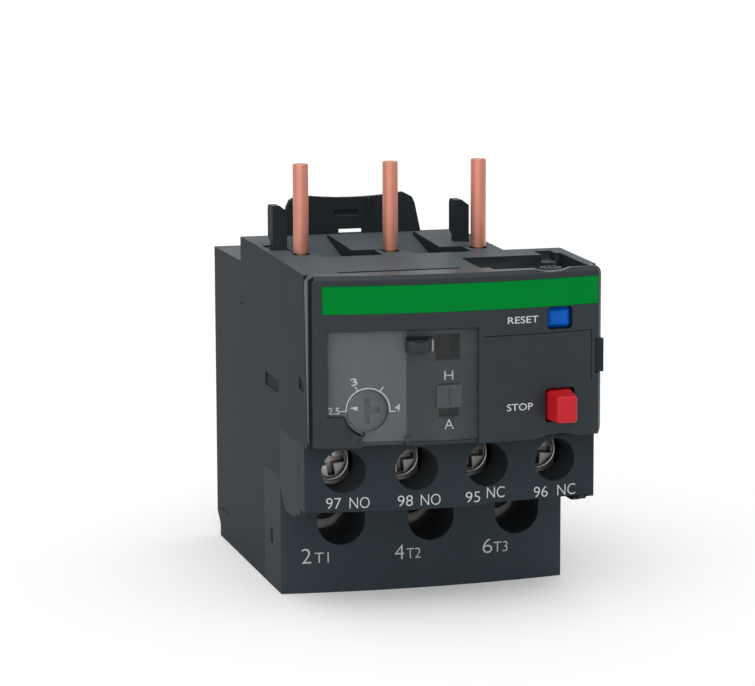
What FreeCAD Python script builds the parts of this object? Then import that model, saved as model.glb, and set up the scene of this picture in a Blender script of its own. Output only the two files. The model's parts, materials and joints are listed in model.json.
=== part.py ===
import FreeCAD, Part
import math
import os
import Sketcher

# Thermal overload relay that plugs into a contactor by three copper pins.
# X runs from the left side to the right side, Y from the front to the back, Z up; millimetres.
# The sheet "Sizes" drives everything. Distances named "..._x" are taken from the left side,
# "..._depth" from the back face towards the front, "..._height" from the bottom.

doc = FreeCAD.newDocument("thermal_overload_relay")
sheet = doc.addObject("Spreadsheet::Sheet", "Sizes")


class Size:
    """A length together with the formula that links it to the sheet."""

    def __init__(self, value, formula):
        self.value = value
        self.formula = formula

    def __add__(self, other):
        other = as_size(other)
        return Size(self.value + other.value, f"({self.formula} + {other.formula})")

    def __sub__(self, other):
        other = as_size(other)
        return Size(self.value - other.value, f"({self.formula} - {other.formula})")

    def __mul__(self, other):
        other = as_size(other)
        return Size(self.value * other.value, f"({self.formula} * {other.formula})")

    def __truediv__(self, other):
        other = as_size(other)
        return Size(self.value / other.value, f"({self.formula} / {other.formula})")

    def __radd__(self, other):
        return as_size(other) + self

    def __rsub__(self, other):
        return as_size(other) - self

    def __rmul__(self, other):
        return as_size(other) * self

    def __rtruediv__(self, other):
        return as_size(other) / self

    def __neg__(self):
        return as_size(0) - self

    def root(self):
        return Size(math.sqrt(self.value), f"sqrt({self.formula})")


def as_size(value):
    if isinstance(value, Size):
        return value
    text = repr(float(value)) if value >= 0 else f"(0 - {repr(float(-value))})"
    return Size(float(value), text)


class Sizes:
    """The named sizes: each one fills a row of the sheet and becomes an attribute."""

    def __init__(self, **named):
        for row, (name, value) in enumerate(named.items(), start=1):
            sheet.set(f"A{row}", name.replace("_", " "))
            sheet.set(f"B{row}", str(value))
            sheet.setAlias(f"B{row}", name)
            setattr(self, name, Size(float(value), f"Sizes.{name}"))


s = Sizes(
    # case
    case_width=45.0,
    back_face_y=34.6,
    back_top_height=48.24,
    case_top_height=52.1,
    top_front_height=51.2,
    top_bend_depth=28.0,
    back_step_depth=19.44,
    foot_depth=2.3,
    foot_height=2.0,
    foot_bevel_height=3.89,
    wall=1.6,
    fit=0.1,
    running_fit=0.05,
    # lower block with the power terminals
    power_front_depth=45.2,
    power_bow=1.72,
    pole_pitch=14.1,
    first_pole_x=9.25,
    power_well_radius=3.65,
    power_well_low_height=11.05,
    power_well_high_height=12.9,
    power_screw_height=12.3,
    power_head_front_depth=35.9,
    power_head_radius=3.4,
    power_head_length=2.6,
    power_shank_radius=2.0,
    power_shank_length=7.6,
    saddle_thickness=1.2,
    saddle_half_width=4.4,
    saddle_low_height=7.0,
    saddle_top_height=17.0,
    wire_gap=1.6,
    terminal_thickness=1.2,
    terminal_low_height=5.5,
    nut_radius=3.3,
    nut_length=2.4,
    wire_entry_half_width=2.6,
    wire_entry_length=4.6,
    # overhanging block with the auxiliary terminals
    throat_height=16.9,
    throat_mid_depth=46.6,
    throat_mid_height=14.95,
    under_back_depth=48.1,
    under_height=13.85,
    under_front_depth=53.7,
    lip_back_depth=55.2,
    lip_height=14.6,
    lip_front_depth=56.7,
    nose_back_depth=57.9,
    aux_low_height=15.8,
    aux_top_height=25.7,
    aux_front_depth=60.4,
    aux_bow=2.2,
    cheek=1.2,
    aux_pitch=10.9,
    first_aux_x=5.72,
    aux_height=21.95,
    aux_well_radius=3.25,
    aux_head_front_depth=53.1,
    aux_head_radius=2.9,
    aux_head_length=1.9,
    aux_shank_radius=1.75,
    aux_saddle_thickness=1.0,
    aux_wire_gap=0.9,
    aux_plate_thickness=0.8,
    aux_nut_length=1.8,
    aux_nut_radius=2.6,
    aux_pocket_half_width=4.2,
    aux_pocket_low_height=17.0,
    aux_pocket_top_height=26.2,
    aux_pocket_back_depth=46.5,
    aux_pocket_front_depth=54.2,
    # pole chambers and mechanism chamber
    chamber_front_depth=44.0,
    pole_low_height=1.5,
    pole_shelf_height=18.0,
    pole_floor_depth=34.5,
    pole_half_width=6.55,
    pole_top_height=46.5,
    notch_x=35.8,
    notch_height=41.0,
    notch_depth=44.2,
    mechanism_back_depth=46.4,
    chamber_floor=1.0,
    mechanism_top_height=47.2,
    side_front_low_depth=62.3,
    side_front_top_depth=60.6,
    # line pins
    first_pin_x=4.58,
    pin_depth=40.87,
    pin_radius=1.18,
    pin_top_height=66.0,
    pin_drop=2.6,
    pin_neck_half=0.8,
    pin_shoulder_drop=0.2,
    pin_hole_radius=1.38,
    # features on the top
    post_x=1.46,
    post_width=2.28,
    post_spacing=29.2,
    post_front_depth=35.5,
    post_back_depth=32.2,
    post_hook_depth=33.6,
    post_hook_low_height=52.9,
    post_hook_height=53.6,
    post_top_height=58.6,
    post_slope_width=1.15,
    post_slope_drop=0.85,
    dip_depth=0.3,
    arch_mid_x=17.93,
    arch_thickness=1.06,
    arch_foot_half=11.72,
    arch_flank_half=10.54,
    arch_shoulder_half=10.07,
    arch_top_half=8.57,
    arch_flank_height=56.7,
    arch_shoulder_height=57.7,
    arch_top_height=58.5,
    arch_hollow=0.6,
    pocket_x=4.8,
    pocket_width=8.1,
    pocket_toe=3.6,
    pocket_slant=2.8,
    pocket_back_depth=24.5,
    pocket_step_depth=39.5,
    pocket_front_depth=44.6,
    pocket_floor_height=47.8,
    ridge_rise=0.5,
    ridge_width=5.6,
    tray_x=27.0,
    tray_right_x=42.5,
    tray_back_depth=50.5,
    tray_floor_height=48.7,
    tray_boss_x=38.6,
    tray_boss_depth=58.7,
    tray_boss_radius=1.5,
    # front cover
    cover_edge_depth=63.64,
    cover_bow=2.64,
    cover_low_height=26.0,
    cover_top_height=51.3,
    cover_back_depth=60.95,
    cover_back_low_depth=62.65,
    cover_inner_depth=62.2,
    cover_corner=1.2,
    cover_edge_bevel=0.6,
    cover_lip_depth=59.4,
    band_x=1.87,
    band_right_x=44.37,
    band_low_height=45.7,
    band_top_height=49.9,
    band_thickness=0.4,
    window_x=2.59,
    window_right_x=24.99,
    window_low_height=26.5,
    window_top_height=43.25,
    window_depth=1.5,
    corner_x=7.64,
    corner_height=30.5,
    scale_thickness=0.45,
    scale_right_x=13.8,
    flap_thickness=0.7,
    flap_gap=0.15,
    hinge_x=7.75,
    hinge_right_x=13.9,
    hinge_height=26.95,
    hinge_depth=65.15,
    hinge_radius=0.6,
    hinge_pin_radius=0.35,
    eyelet_x=14.2,
    eyelet_right_x=17.83,
    eyelet_low_height=39.95,
    eyelet_top_height=41.65,
    eyelet_reach=1.5,
    dial_x=8.66,
    dial_height=31.32,
    dial_radius=3.0,
    dial_shaft_radius=1.5,
    dial_face_depth=63.9,
    dial_disc=0.55,
    dial_back_depth=54.7,
    cam_radius=1.9,
    cam_offset=0.5,
    selector_x=20.87,
    selector_half_width=1.94,
    selector_low_height=31.36,
    selector_top_height=34.73,
    selector_slot_low_height=29.9,
    selector_slot_top_height=34.94,
    selector_slot_half_width=1.5,
    flag_window_x=18.77,
    flag_window_right_x=22.54,
    flag_low_height=38.37,
    flag_top_height=42.3,
    reset_x=37.9,
    reset_half_width=1.95,
    reset_low_height=42.35,
    reset_top_height=45.5,
    reset_sink=0.7,
    stop_x=38.0,
    stop_low_height=28.4,
    stop_top_height=33.45,
    stop_half_width=2.4,
    stop_front_depth=69.2,
    button_clearance=0.12,
    button_travel=1.8,
    button_flange=0.8,
    clip_x=43.8,
    clip_low_height=35.2,
    clip_top_height=40.5,
    clip_proud=0.3,
    # mechanism
    slide_travel=1.5,
    strip_thickness=0.9,
    strip_width=6.0,
    strip_mid_depth=23.0,
    strip_low_height=17.2,
    heater_half_width=4.6,
    heater_half_depth=3.9,
    heater_wire=0.45,
    heater_turns=4,
    heater_low_height=20.0,
    bar_clearance=0.8,
    bar_thickness=1.2,
    bar_width=2.4,
    tooth_gap=0.05,
    tooth_width=0.9,
    bar_x=4.5,
    bar_right_x=39.4,
    pivot_x=41.2,
    pivot_depth=50.6,
    pivot_radius=0.8,
    lever_hub_radius=1.6,
    lever_hub_reach=0.6,
    lever_gap=1.6,
    lever_arm_x=22.4,
    carrier_travel=1.15,
    carrier_thickness=2.1,
    carrier_front_depth=54.1,
    carrier_back_depth=51.3,
    contact_rise=4.0,
    bridge_rise=1.3,
    contact_thickness=0.5,
    contact_radius=0.9,
    contact_rest=0.05,
    bridge_thickness=0.8,
    nc_tab_depth=55.4,
    plate_back_depth=56.0,
    plate_front_depth=57.2,
    spring_wire=0.2,
    spring_radius=1.75,
    spring_turns=4,
)

# heights of the contacts and the mechanism, each one standing on the one before
s.mechanism_low_height = s.aux_pocket_top_height + s.chamber_floor
s.contact_height = s.mechanism_low_height + s.contact_rise
s.carrier_low_height = s.contact_height + s.bridge_rise
s.carrier_top_height = s.carrier_low_height + s.carrier_thickness
s.bar_low_height = s.carrier_top_height + s.lever_gap + s.lever_hub_reach
s.strip_top_height = s.bar_low_height - s.bar_clearance
s.pin_low_height = s.strip_top_height - s.pin_drop

LEFT = -(s.case_width / 2)
RIGHT = s.case_width / 2
POLES = (s.first_pole_x, s.first_pole_x + s.pole_pitch, s.first_pole_x + 2 * s.pole_pitch)
PINS = (s.first_pin_x, s.first_pin_x + s.pole_pitch, s.first_pin_x + 2 * s.pole_pitch)
AUX = tuple(s.first_aux_x + step * s.aux_pitch for step in range(4))


def X(distance):
    """Place across the relay, from a distance to the left side."""
    return LEFT + distance


def Y(depth):
    """Place along the relay, from a depth in front of the back face."""
    return s.back_face_y - depth


def depths(front, back):
    """The two ends along Y of something that lies between two depths."""
    return Y(front), Y(back)


# ---- outlines -------------------------------------------------------------------------------


class Disc:
    def __init__(self, u, v, radius):
        self.u = as_size(u)
        self.v = as_size(v)
        self.radius = as_size(radius)


class Corner:
    """A corner of an outline; a radius bends the edge that leaves it, positive bulges outwards."""

    def __init__(self, u, v, radius=0):
        self.u = as_size(u)
        self.v = as_size(v)
        self.radius = as_size(radius)


def outline(*corners):
    return [Corner(*corner) for corner in corners]


def oblong(u_low, v_low, u_high, v_high):
    return outline((u_low, v_low), (u_high, v_low), (u_high, v_high), (u_low, v_high))


def soft_oblong(u_low, v_low, u_high, v_high, r):
    return outline(
        (u_low + r, v_low), (u_high - r, v_low, r), (u_high, v_low + r), (u_high, v_high - r, r),
        (u_high - r, v_high), (u_low + r, v_high, r), (u_low, v_high - r), (u_low, v_low + r, r))


def flats(u, v, across):
    """Eight flats round a centre, with the size measured across them."""
    half = as_size(across) / 2
    low = half * math.tan(math.pi / 8)
    return outline(
        (u - low, v - half), (u + low, v - half), (u + half, v - low), (u + half, v + low),
        (u + low, v + half), (u - low, v + half), (u - half, v + low), (u - half, v - low))


def long_hole(u, v_low, v_high, r):
    return outline(
        (u, v_low - r, r), (u + r, v_low), (u + r, v_high, r),
        (u, v_high + r, r), (u - r, v_high), (u - r, v_low, r))


def arc_between(start, end):
    """The arc from one corner to the next and whether it runs clockwise."""
    bend = start.radius.value
    p = FreeCAD.Vector(start.u.value, start.v.value, 0)
    q = FreeCAD.Vector(end.u.value, end.v.value, 0)
    chord = q - p
    half = chord.Length / 2
    rise = math.sqrt(max(bend * bend - half * half, 0))
    side = FreeCAD.Vector(-chord.y, chord.x, 0).normalize() * math.copysign(rise, bend)
    centre = (p + q) / 2 + side
    first, last = (p, q) if bend > 0 else (q, p)
    begin = math.atan2(first.y - centre.y, first.x - centre.x)
    finish = math.atan2(last.y - centre.y, last.x - centre.x)
    if finish < begin:
        finish += 2 * math.pi
    circle = Part.Circle(centre, FreeCAD.Vector(0, 0, 1), abs(bend))
    return Part.ArcOfCircle(circle, begin, finish), bend < 0


def fix(sketch, kind, geometry, point, size):
    """Fix one coordinate of a point of the sketch, or a radius, to a size."""
    if kind == "Radius":
        item = Sketcher.Constraint(kind, geometry, size.value)
    else:
        item = Sketcher.Constraint(kind, -1, 1, geometry, point, size.value)
    index = sketch.addConstraint(item)
    if "Sizes" in size.formula:
        sketch.setExpression(f"Constraints[{index}]", size.formula)


def draw_disc(sketch, disc):
    centre = FreeCAD.Vector(disc.u.value, disc.v.value, 0)
    circle = Part.Circle(centre, FreeCAD.Vector(0, 0, 1), disc.radius.value)
    geometry = sketch.addGeometry(circle, False)
    fix(sketch, "Radius", geometry, 0, disc.radius)
    fix(sketch, "DistanceX", geometry, 3, disc.u)
    fix(sketch, "DistanceY", geometry, 3, disc.v)


def draw_outline(sketch, corners):
    edges = []
    for start, end in zip(corners, corners[1:] + corners[:1]):
        turned = False
        if start.radius.value:
            edge, turned = arc_between(start, end)
        else:
            p = FreeCAD.Vector(start.u.value, start.v.value, 0)
            q = FreeCAD.Vector(end.u.value, end.v.value, 0)
            edge = Part.LineSegment(p, q)
        geometry = sketch.addGeometry(edge, False)
        edges.append((geometry, 2 if turned else 1, 1 if turned else 2))
    for (geometry, begin, finish), (after, after_begin, after_finish) in zip(edges, edges[1:] + edges[:1]):
        sketch.addConstraint(Sketcher.Constraint("Coincident", geometry, finish, after, after_begin))
    for corner, (geometry, begin, finish) in zip(corners, edges):
        fix(sketch, "DistanceX", geometry, begin, corner.u)
        fix(sketch, "DistanceY", geometry, begin, corner.v)
        if corner.radius.value:
            bend = corner.radius if corner.radius.value > 0 else -corner.radius
            fix(sketch, "Radius", geometry, 0, bend)


# ---- pieces ---------------------------------------------------------------------------------

pieces = []


class Piece:
    """One separate piece of the relay: a body that carries the name of its node."""

    def __init__(self, node):
        self.body = doc.addObject("PartDesign::Body", node)
        self.body.Label = node
        pieces.append(self.body)

    def sketch(self, plane, level, loops):
        sketch = self.body.newObject("Sketcher::SketchObject", f"{self.body.Name}_sketch")
        support = [item for item in self.body.Origin.OriginFeatures if item.Role == f"{plane}_Plane"]
        sketch.AttachmentSupport = [(support[0], "")]
        sketch.MapMode = "FlatFace"
        shift = -as_size(level) if plane == "XZ" else as_size(level)
        sketch.AttachmentOffset = FreeCAD.Placement(FreeCAD.Vector(0, 0, shift.value), FreeCAD.Rotation())
        if "Sizes" in shift.formula:
            sketch.setExpression("AttachmentOffset.Base.z", shift.formula)
        for loop in loops:
            if isinstance(loop, Disc):
                draw_disc(sketch, loop)
            else:
                draw_outline(sketch, loop)
        return sketch

    def feature(self, kind, plane, low, high, loops, backwards):
        feature = self.body.newObject(kind, f"{self.body.Name}_{kind.split('::')[1].lower()}")
        feature.Profile = self.sketch(plane, low, loops)
        length = as_size(high) - as_size(low)
        feature.Length = length.value
        if "Sizes" in length.formula:
            feature.setExpression("Length", length.formula)
        feature.Reversed = backwards
        self.body.Tip = feature
        return self

    def grow(self, plane, low, high, *loops):
        """Add material between two levels of a plane."""
        return self.feature("PartDesign::Pad", plane, low, high, loops, plane == "XZ")

    def sink(self, plane, low, high, *loops):
        """Remove material between two levels of a plane."""
        return self.feature("PartDesign::Pocket", plane, low, high, loops, plane != "XZ")

    def dress(self, kind, size, chosen):
        """Round or bevel the edges whose middle point and direction are chosen."""
        doc.recompute()
        base = self.body.Tip
        names = []
        for index, edge in enumerate(base.Shape.Edges, start=1):
            middle = edge.valueAt((edge.FirstParameter + edge.LastParameter) / 2)
            along = edge.tangentAt((edge.FirstParameter + edge.LastParameter) / 2)
            if chosen(middle, along):
                names.append(f"Edge{index}")
        feature = self.body.newObject(f"PartDesign::{kind}", f"{self.body.Name}_{kind.lower()}")
        feature.Base = (base, names)
        prop = "Radius" if kind == "Fillet" else "Size"
        setattr(feature, prop, as_size(size).value)
        if "Sizes" in as_size(size).formula:
            feature.setExpression(prop, as_size(size).formula)
        self.body.Tip = feature
        return self


# ---- housing --------------------------------------------------------------------------------
# The moulded housing carries the chambers, hooks, pockets and tray. Two blocks close its lower front:
# one with the power terminals, and one over it with the auxiliary terminals.

TOP = s.case_top_height
ABOVE = s.case_top_height + 2
FAR_FRONT = s.stop_front_depth

housing = Piece("housing")
housing.grow("YZ", LEFT, RIGHT, outline(
    (Y(s.foot_depth), 0), (Y(s.foot_depth), s.foot_height), (Y(0), s.foot_bevel_height),
    (Y(0), s.back_top_height), (Y(s.back_step_depth), s.back_top_height), (Y(s.back_step_depth), TOP),
    (Y(s.top_bend_depth), TOP), (Y(s.side_front_top_depth), s.top_front_height),
    (Y(s.side_front_low_depth), s.aux_top_height), (Y(s.power_front_depth), s.aux_top_height),
    (Y(s.power_front_depth), s.pole_shelf_height), (Y(s.pole_floor_depth), s.pole_shelf_height),
    (Y(s.pole_floor_depth), 0)))


def bow_radius(chord, bow):
    """Radius of a shallow bow over a chord."""
    return chord * chord / (8 * bow) + bow / 2


def bowed_front(depth, radius, right):
    """Plan of a thin bowed front standing on a straight back."""
    return outline((LEFT, Y(depth), radius), (right, Y(depth)), (right, Y(depth) + 1), (LEFT, Y(depth) + 1))


terminal_block = Piece("terminal_block")
terminal_block.grow("XY", 0, s.pole_shelf_height, oblong(
    LEFT, Y(s.power_front_depth), RIGHT, Y(s.pole_floor_depth)))
terminal_block.grow("XY", 0, s.aux_low_height, bowed_front(
    s.power_front_depth, bow_radius(s.case_width, s.power_bow), RIGHT))

auxiliary_block = Piece("auxiliary_block")
auxiliary_block.grow("YZ", LEFT, RIGHT, outline(
    (Y(s.power_front_depth), s.aux_top_height), (Y(s.aux_front_depth), s.aux_top_height),
    (Y(s.aux_front_depth), s.aux_low_height), (Y(s.nose_back_depth), s.aux_low_height),
    (Y(s.lip_front_depth), s.lip_height), (Y(s.lip_back_depth), s.lip_height),
    (Y(s.under_front_depth), s.under_height), (Y(s.under_back_depth), s.under_height),
    (Y(s.throat_mid_depth), s.throat_mid_height), (Y(s.power_front_depth), s.throat_height)))
auxiliary_block.grow("XY", s.aux_low_height, s.aux_top_height, bowed_front(
    s.aux_front_depth, bow_radius(s.case_width, s.aux_bow), RIGHT))

# its underside is raised between the side cheeks, and once more at the right
auxiliary_block.sink("XY", s.under_height - 1, s.aux_low_height, oblong(
    X(s.cheek), Y(s.aux_front_depth + s.aux_bow), RIGHT - s.cheek, Y(s.power_front_depth - 1)))
auxiliary_block.sink("XY", s.under_height - 1, s.aux_low_height + 0.35, oblong(
    X(27.3), Y(s.aux_front_depth + s.aux_bow), RIGHT - s.cheek, Y(s.lip_back_depth)))

# low corner at the right of the back
housing.sink("XY", s.notch_height, ABOVE, oblong(X(s.notch_x), Y(s.notch_depth), RIGHT + 1, Y(0) + 1))

# pole chambers, their lower parts behind the power terminals and the seat of the rear cover
seat = s.wall
housing.sink("XZ", *depths(s.pole_floor_depth + 1, seat), *[oblong(
    X(x - s.pole_half_width), s.pole_low_height, X(x + s.pole_half_width), s.pole_shelf_height) for x in POLES])
tall = [oblong(X(x - s.pole_half_width), s.pole_shelf_height - 0.5, X(x + s.pole_half_width), s.pole_top_height)
        for x in POLES[:2]]
short = outline(
    (X(POLES[2] - s.pole_half_width), s.pole_shelf_height - 0.5),
    (X(POLES[2] + s.pole_half_width), s.pole_shelf_height - 0.5),
    (X(POLES[2] + s.pole_half_width), s.notch_height - s.wall), (X(s.notch_x - s.wall), s.notch_height - s.wall),
    (X(s.notch_x - s.wall), s.pole_top_height), (X(POLES[2] - s.pole_half_width), s.pole_top_height))
housing.sink("XZ", *depths(s.chamber_front_depth, seat), *tall, short)


def rear_plate(margin):
    """Outline of the rear cover or, with no margin, of its seat."""
    return outline(
        (X(s.wall / 2 + margin), s.foot_bevel_height + s.wall / 2 + margin),
        (RIGHT - s.wall / 2 - margin, s.foot_bevel_height + s.wall / 2 + margin),
        (RIGHT - s.wall / 2 - margin, s.notch_height - s.wall / 2 - margin),
        (X(s.notch_x - s.wall / 2 - margin), s.notch_height - s.wall / 2 - margin),
        (X(s.notch_x - s.wall / 2 - margin), s.back_top_height - s.wall / 2 - margin),
        (X(s.wall / 2 + margin), s.back_top_height - s.wall / 2 - margin))


housing.sink("XZ", Y(seat), Y(-1), rear_plate(0))

# openings for the bars, mechanism chamber, opening for the lever
SLOT_LOW = s.bar_low_height - 2.4
SLOT_TOP = s.bar_low_height + s.bar_thickness + 0.4
housing.sink("YZ", X(POLES[0]), X(POLES[2]), oblong(
    Y(s.strip_mid_depth + 3.6), SLOT_LOW, Y(s.strip_mid_depth - 3.6), SLOT_TOP))
housing.sink("XZ", *depths(s.cover_edge_depth, s.mechanism_back_depth), soft_oblong(
    X(s.wall), s.mechanism_low_height, RIGHT - s.wall, s.mechanism_top_height, 1.0))
housing.sink("XZ", *depths(s.mechanism_back_depth + 1, s.chamber_front_depth - 1), oblong(
    X(s.pivot_x - 2.4), s.bar_low_height - s.lever_hub_reach, RIGHT - s.wall, SLOT_TOP))

# wells and wire entries of the power terminals
terminal_block.sink("XZ", *depths(s.power_front_depth + s.power_bow, s.pole_floor_depth - 1), *[long_hole(
    X(x), s.power_well_low_height, s.power_well_high_height, s.power_well_radius) for x in POLES])
SADDLE_FRONT = s.power_head_front_depth - s.power_head_length
PLATE_FRONT = SADDLE_FRONT - s.saddle_thickness - s.wire_gap
housing.sink("XY", -1, s.pole_low_height + 1, *[oblong(
    X(x - s.wire_entry_half_width), Y(SADDLE_FRONT), X(x + s.wire_entry_half_width),
    Y(SADDLE_FRONT - s.wire_entry_length)) for x in POLES])

# wells, pockets, wire entries and riser slots of the auxiliary terminals
AUX_SADDLE_FRONT = s.aux_head_front_depth - s.aux_head_length
AUX_PLATE_FRONT = AUX_SADDLE_FRONT - s.aux_saddle_thickness - s.aux_wire_gap
for block in (auxiliary_block, housing):
    block.sink("XZ", *depths(s.aux_pocket_front_depth, s.aux_pocket_back_depth), *[oblong(
        X(x - s.aux_pocket_half_width), s.aux_pocket_low_height, X(x + s.aux_pocket_half_width),
        s.aux_pocket_top_height) for x in AUX])
auxiliary_block.sink("XZ", *depths(FAR_FRONT, s.aux_pocket_front_depth - 1), *[Disc(
    X(x), s.aux_height, s.aux_well_radius) for x in AUX])
auxiliary_block.sink("XY", s.aux_low_height - 1, s.aux_pocket_low_height + 1, *[oblong(
    X(x - 2.3), Y(AUX_SADDLE_FRONT + 2.6), X(x + 2.3), Y(AUX_PLATE_FRONT)) for x in AUX])
housing.sink("XY", s.aux_pocket_top_height - 1, s.mechanism_low_height + 1, *[oblong(
    X(x - 1.5), Y(AUX_PLATE_FRONT + 0.15), X(x + 1.5), Y(AUX_PLATE_FRONT - s.aux_plate_thickness - 0.15))
    for x in AUX])

# pockets with sloping floors, raised lands and holes for the pins
for x in (s.pocket_x, s.pocket_x + s.pole_pitch):
    housing.sink("XY", s.pocket_floor_height, ABOVE, outline(
        (X(x), Y(s.pocket_back_depth)), (X(x + s.pocket_slant), Y(s.pocket_front_depth)),
        (X(x + s.pocket_width + s.pocket_toe), Y(s.pocket_front_depth)),
        (X(x + s.pocket_width + s.pocket_toe), Y(s.pocket_step_depth)),
        (X(x + s.pocket_width), Y(s.pocket_step_depth)), (X(x + s.pocket_width), Y(s.pocket_back_depth))))
    housing.grow("YZ", X(x), X(x + s.pocket_width + s.pocket_toe), outline(
        (Y(s.pocket_back_depth), TOP), (Y(s.pocket_back_depth), s.pocket_floor_height - 0.3),
        (Y(s.pocket_front_depth), s.pocket_floor_height - 0.3), (Y(s.pocket_front_depth), s.pocket_floor_height)))
    housing.grow("YZ", X(x + s.pocket_width), X(x + s.pocket_width + s.ridge_width), outline(
        (Y(s.pocket_back_depth), TOP - 0.5), (Y(s.pocket_back_depth), TOP + s.ridge_rise),
        (Y(s.pocket_step_depth), TOP - 0.25), (Y(s.pocket_step_depth), TOP - 0.7)))

housing.sink("XY", s.pole_top_height - 1, ABOVE, *[Disc(X(x), Y(s.pin_depth), s.pin_hole_radius) for x in PINS])

# two hook posts and the shallow dip round the left one
housing.sink("XY", TOP - s.dip_depth - 0.1, ABOVE, oblong(X(0.8), Y(41.0), X(3.95), Y(31.0)))
for x in (s.post_x, s.post_x + s.post_spacing):
    housing.grow("YZ", X(x), X(x + s.post_width), outline(
        (Y(s.post_hook_depth), TOP - 1), (Y(s.post_hook_depth), s.post_hook_low_height),
        (Y(s.post_back_depth), s.post_hook_height), (Y(s.post_back_depth), s.post_top_height - 0.5),
        (Y(s.post_back_depth + 0.5), s.post_top_height), (Y(s.post_front_depth), s.post_top_height),
        (Y(s.post_front_depth), TOP - 1)))
    housing.sink("XZ", *depths(s.post_front_depth + 1, s.post_back_depth - 1), outline(
        (X(x + s.post_width), s.post_top_height - s.post_slope_drop),
        (X(x + s.post_width + 0.1), s.post_top_height + 0.1),
        (X(x + s.post_width - s.post_slope_width), s.post_top_height)))

# arch plate with its hollow top, recess, small window and rib
ARCH_FRONT = s.back_step_depth + s.arch_thickness


def arch(half, side):
    return X(s.arch_mid_x + side * half)


housing.grow("XZ", *depths(ARCH_FRONT, s.back_step_depth), outline(
    (arch(s.arch_foot_half, -1), TOP - 1), (arch(s.arch_foot_half, 1), TOP - 1),
    (arch(s.arch_flank_half, 1), s.arch_flank_height), (arch(s.arch_shoulder_half, 1), s.arch_shoulder_height),
    (arch(s.arch_top_half, 1), s.arch_top_height, -bow_radius(2 * s.arch_top_half, s.arch_hollow)),
    (arch(s.arch_top_half, -1), s.arch_top_height), (arch(s.arch_shoulder_half, -1), s.arch_shoulder_height),
    (arch(s.arch_flank_half, -1), s.arch_flank_height)))
housing.sink("XZ", *depths(ARCH_FRONT + 1, ARCH_FRONT - 0.5), oblong(X(15.2), 55.0, X(19.15), 55.9))
housing.sink("XZ", *depths(ARCH_FRONT + 1, s.back_step_depth - 1), oblong(X(15.84), TOP + 0.1, X(19.8), TOP + 0.75))
housing.grow("XZ", *depths(ARCH_FRONT + 0.4, ARCH_FRONT), oblong(X(20.5), 55.4, X(21.0), 57.8))

# tray at the front right with its small round boss, and the step behind the cover
housing.sink("XY", s.tray_floor_height, ABOVE, soft_oblong(
    X(s.tray_x), Y(FAR_FRONT), X(s.tray_right_x), Y(s.tray_back_depth), 0.8))
housing.grow("XY", s.tray_floor_height - 0.3, s.top_front_height - 0.1, Disc(
    X(s.tray_boss_x), Y(s.tray_boss_depth), s.tray_boss_radius))
housing.sink("XY", s.tray_floor_height + 0.8, ABOVE, oblong(
    X(s.tray_boss_x - 1.7), Y(s.tray_boss_depth + 0.5), X(s.tray_boss_x - 0.6), Y(s.tray_boss_depth - 0.5)))
housing.sink("XY", s.top_front_height - 0.3, ABOVE, oblong(X(5.4), Y(60.2), X(24.0), Y(59.2)))

# shallow slots in the left side, clip for the cover at the right side
SIDE = X(0.5)
housing.sink("YZ", LEFT - 1, SIDE, oblong(Y(45.05), 31.0, Y(36.0), 33.15))
housing.sink("YZ", LEFT - 1, SIDE, outline(
    (Y(60.6), 33.7), (Y(57.5), 33.85), (Y(57.5), 35.9), (Y(60.2), 35.2)))
auxiliary_block.sink("YZ", LEFT - 1, SIDE, oblong(Y(57.05), 20.6, Y(56.7), 22.8))
terminal_block.sink("YZ", LEFT - 1, SIDE, oblong(Y(40.0), 6.7, Y(38.5), 9.1))
housing.sink("YZ", LEFT - 1, SIDE, oblong(Y(9.9), 4.75, Y(3.2), 5.05), oblong(Y(22.05), 41.4, Y(18.65), 41.65))
housing.grow("XZ", *depths(s.cover_edge_depth - 0.1, s.side_front_top_depth - 1), oblong(
    X(s.clip_x + s.fit), s.clip_low_height + 0.15, RIGHT + s.clip_proud, s.clip_top_height - 0.15))

rear_cover = Piece("rear_cover")
rear_cover.grow("XZ", Y(seat), Y(0), rear_plate(s.fit))

# ---- front cover and what it carries -----------------------------------------------------------

COVER_RADIUS = bow_radius(s.case_width, s.cover_bow)
BOW_CENTRE_Y = Y(s.cover_edge_depth + s.cover_bow) + COVER_RADIUS


def face_y(x, inset):
    """Place along Y of the bowed face of the cover, or of a surface that lies inset behind it."""
    reach = COVER_RADIUS - inset
    return BOW_CENTRE_Y - (reach * reach - x * x).root()


def bowed(x_low, x_high, front, back):
    """Plan of a bowed sheet between two insets behind the face of the cover."""
    return outline(
        (x_low, face_y(x_low, front), COVER_RADIUS - front), (x_high, face_y(x_high, front)),
        (x_high, face_y(x_high, back), -(COVER_RADIUS - back)), (x_low, face_y(x_low, back)))


DIAL_FLOOR = s.dial_face_depth - s.dial_disc

cover = Piece("front_cover")
cover.grow("XY", s.cover_low_height, s.cover_top_height, outline(
    (LEFT, Y(s.cover_edge_depth), COVER_RADIUS), (RIGHT, Y(s.cover_edge_depth)),
    (RIGHT, Y(s.cover_back_depth)), (LEFT, Y(s.cover_back_depth))))
cover.sink("YZ", LEFT - 1, RIGHT + 1, outline(
    (Y(s.cover_back_depth), s.cover_top_height), (Y(s.cover_back_low_depth), s.cover_low_height),
    (Y(s.cover_back_low_depth), s.cover_low_height - 1), (Y(s.cover_back_depth - 1), s.cover_low_height - 1),
    (Y(s.cover_back_depth - 1), s.cover_top_height)))
cover.dress("Fillet", s.cover_corner, lambda middle, along: (
    abs(along.y) > 0.99 and abs(middle.x) > 22 and middle.z > 50))
cover.dress("Chamfer", s.cover_edge_bevel, lambda middle, along: (
    middle.y < Y(s.cover_edge_depth).value + 0.6 and (middle.z > 49.8 or abs(along.z) > 0.99)))
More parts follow.
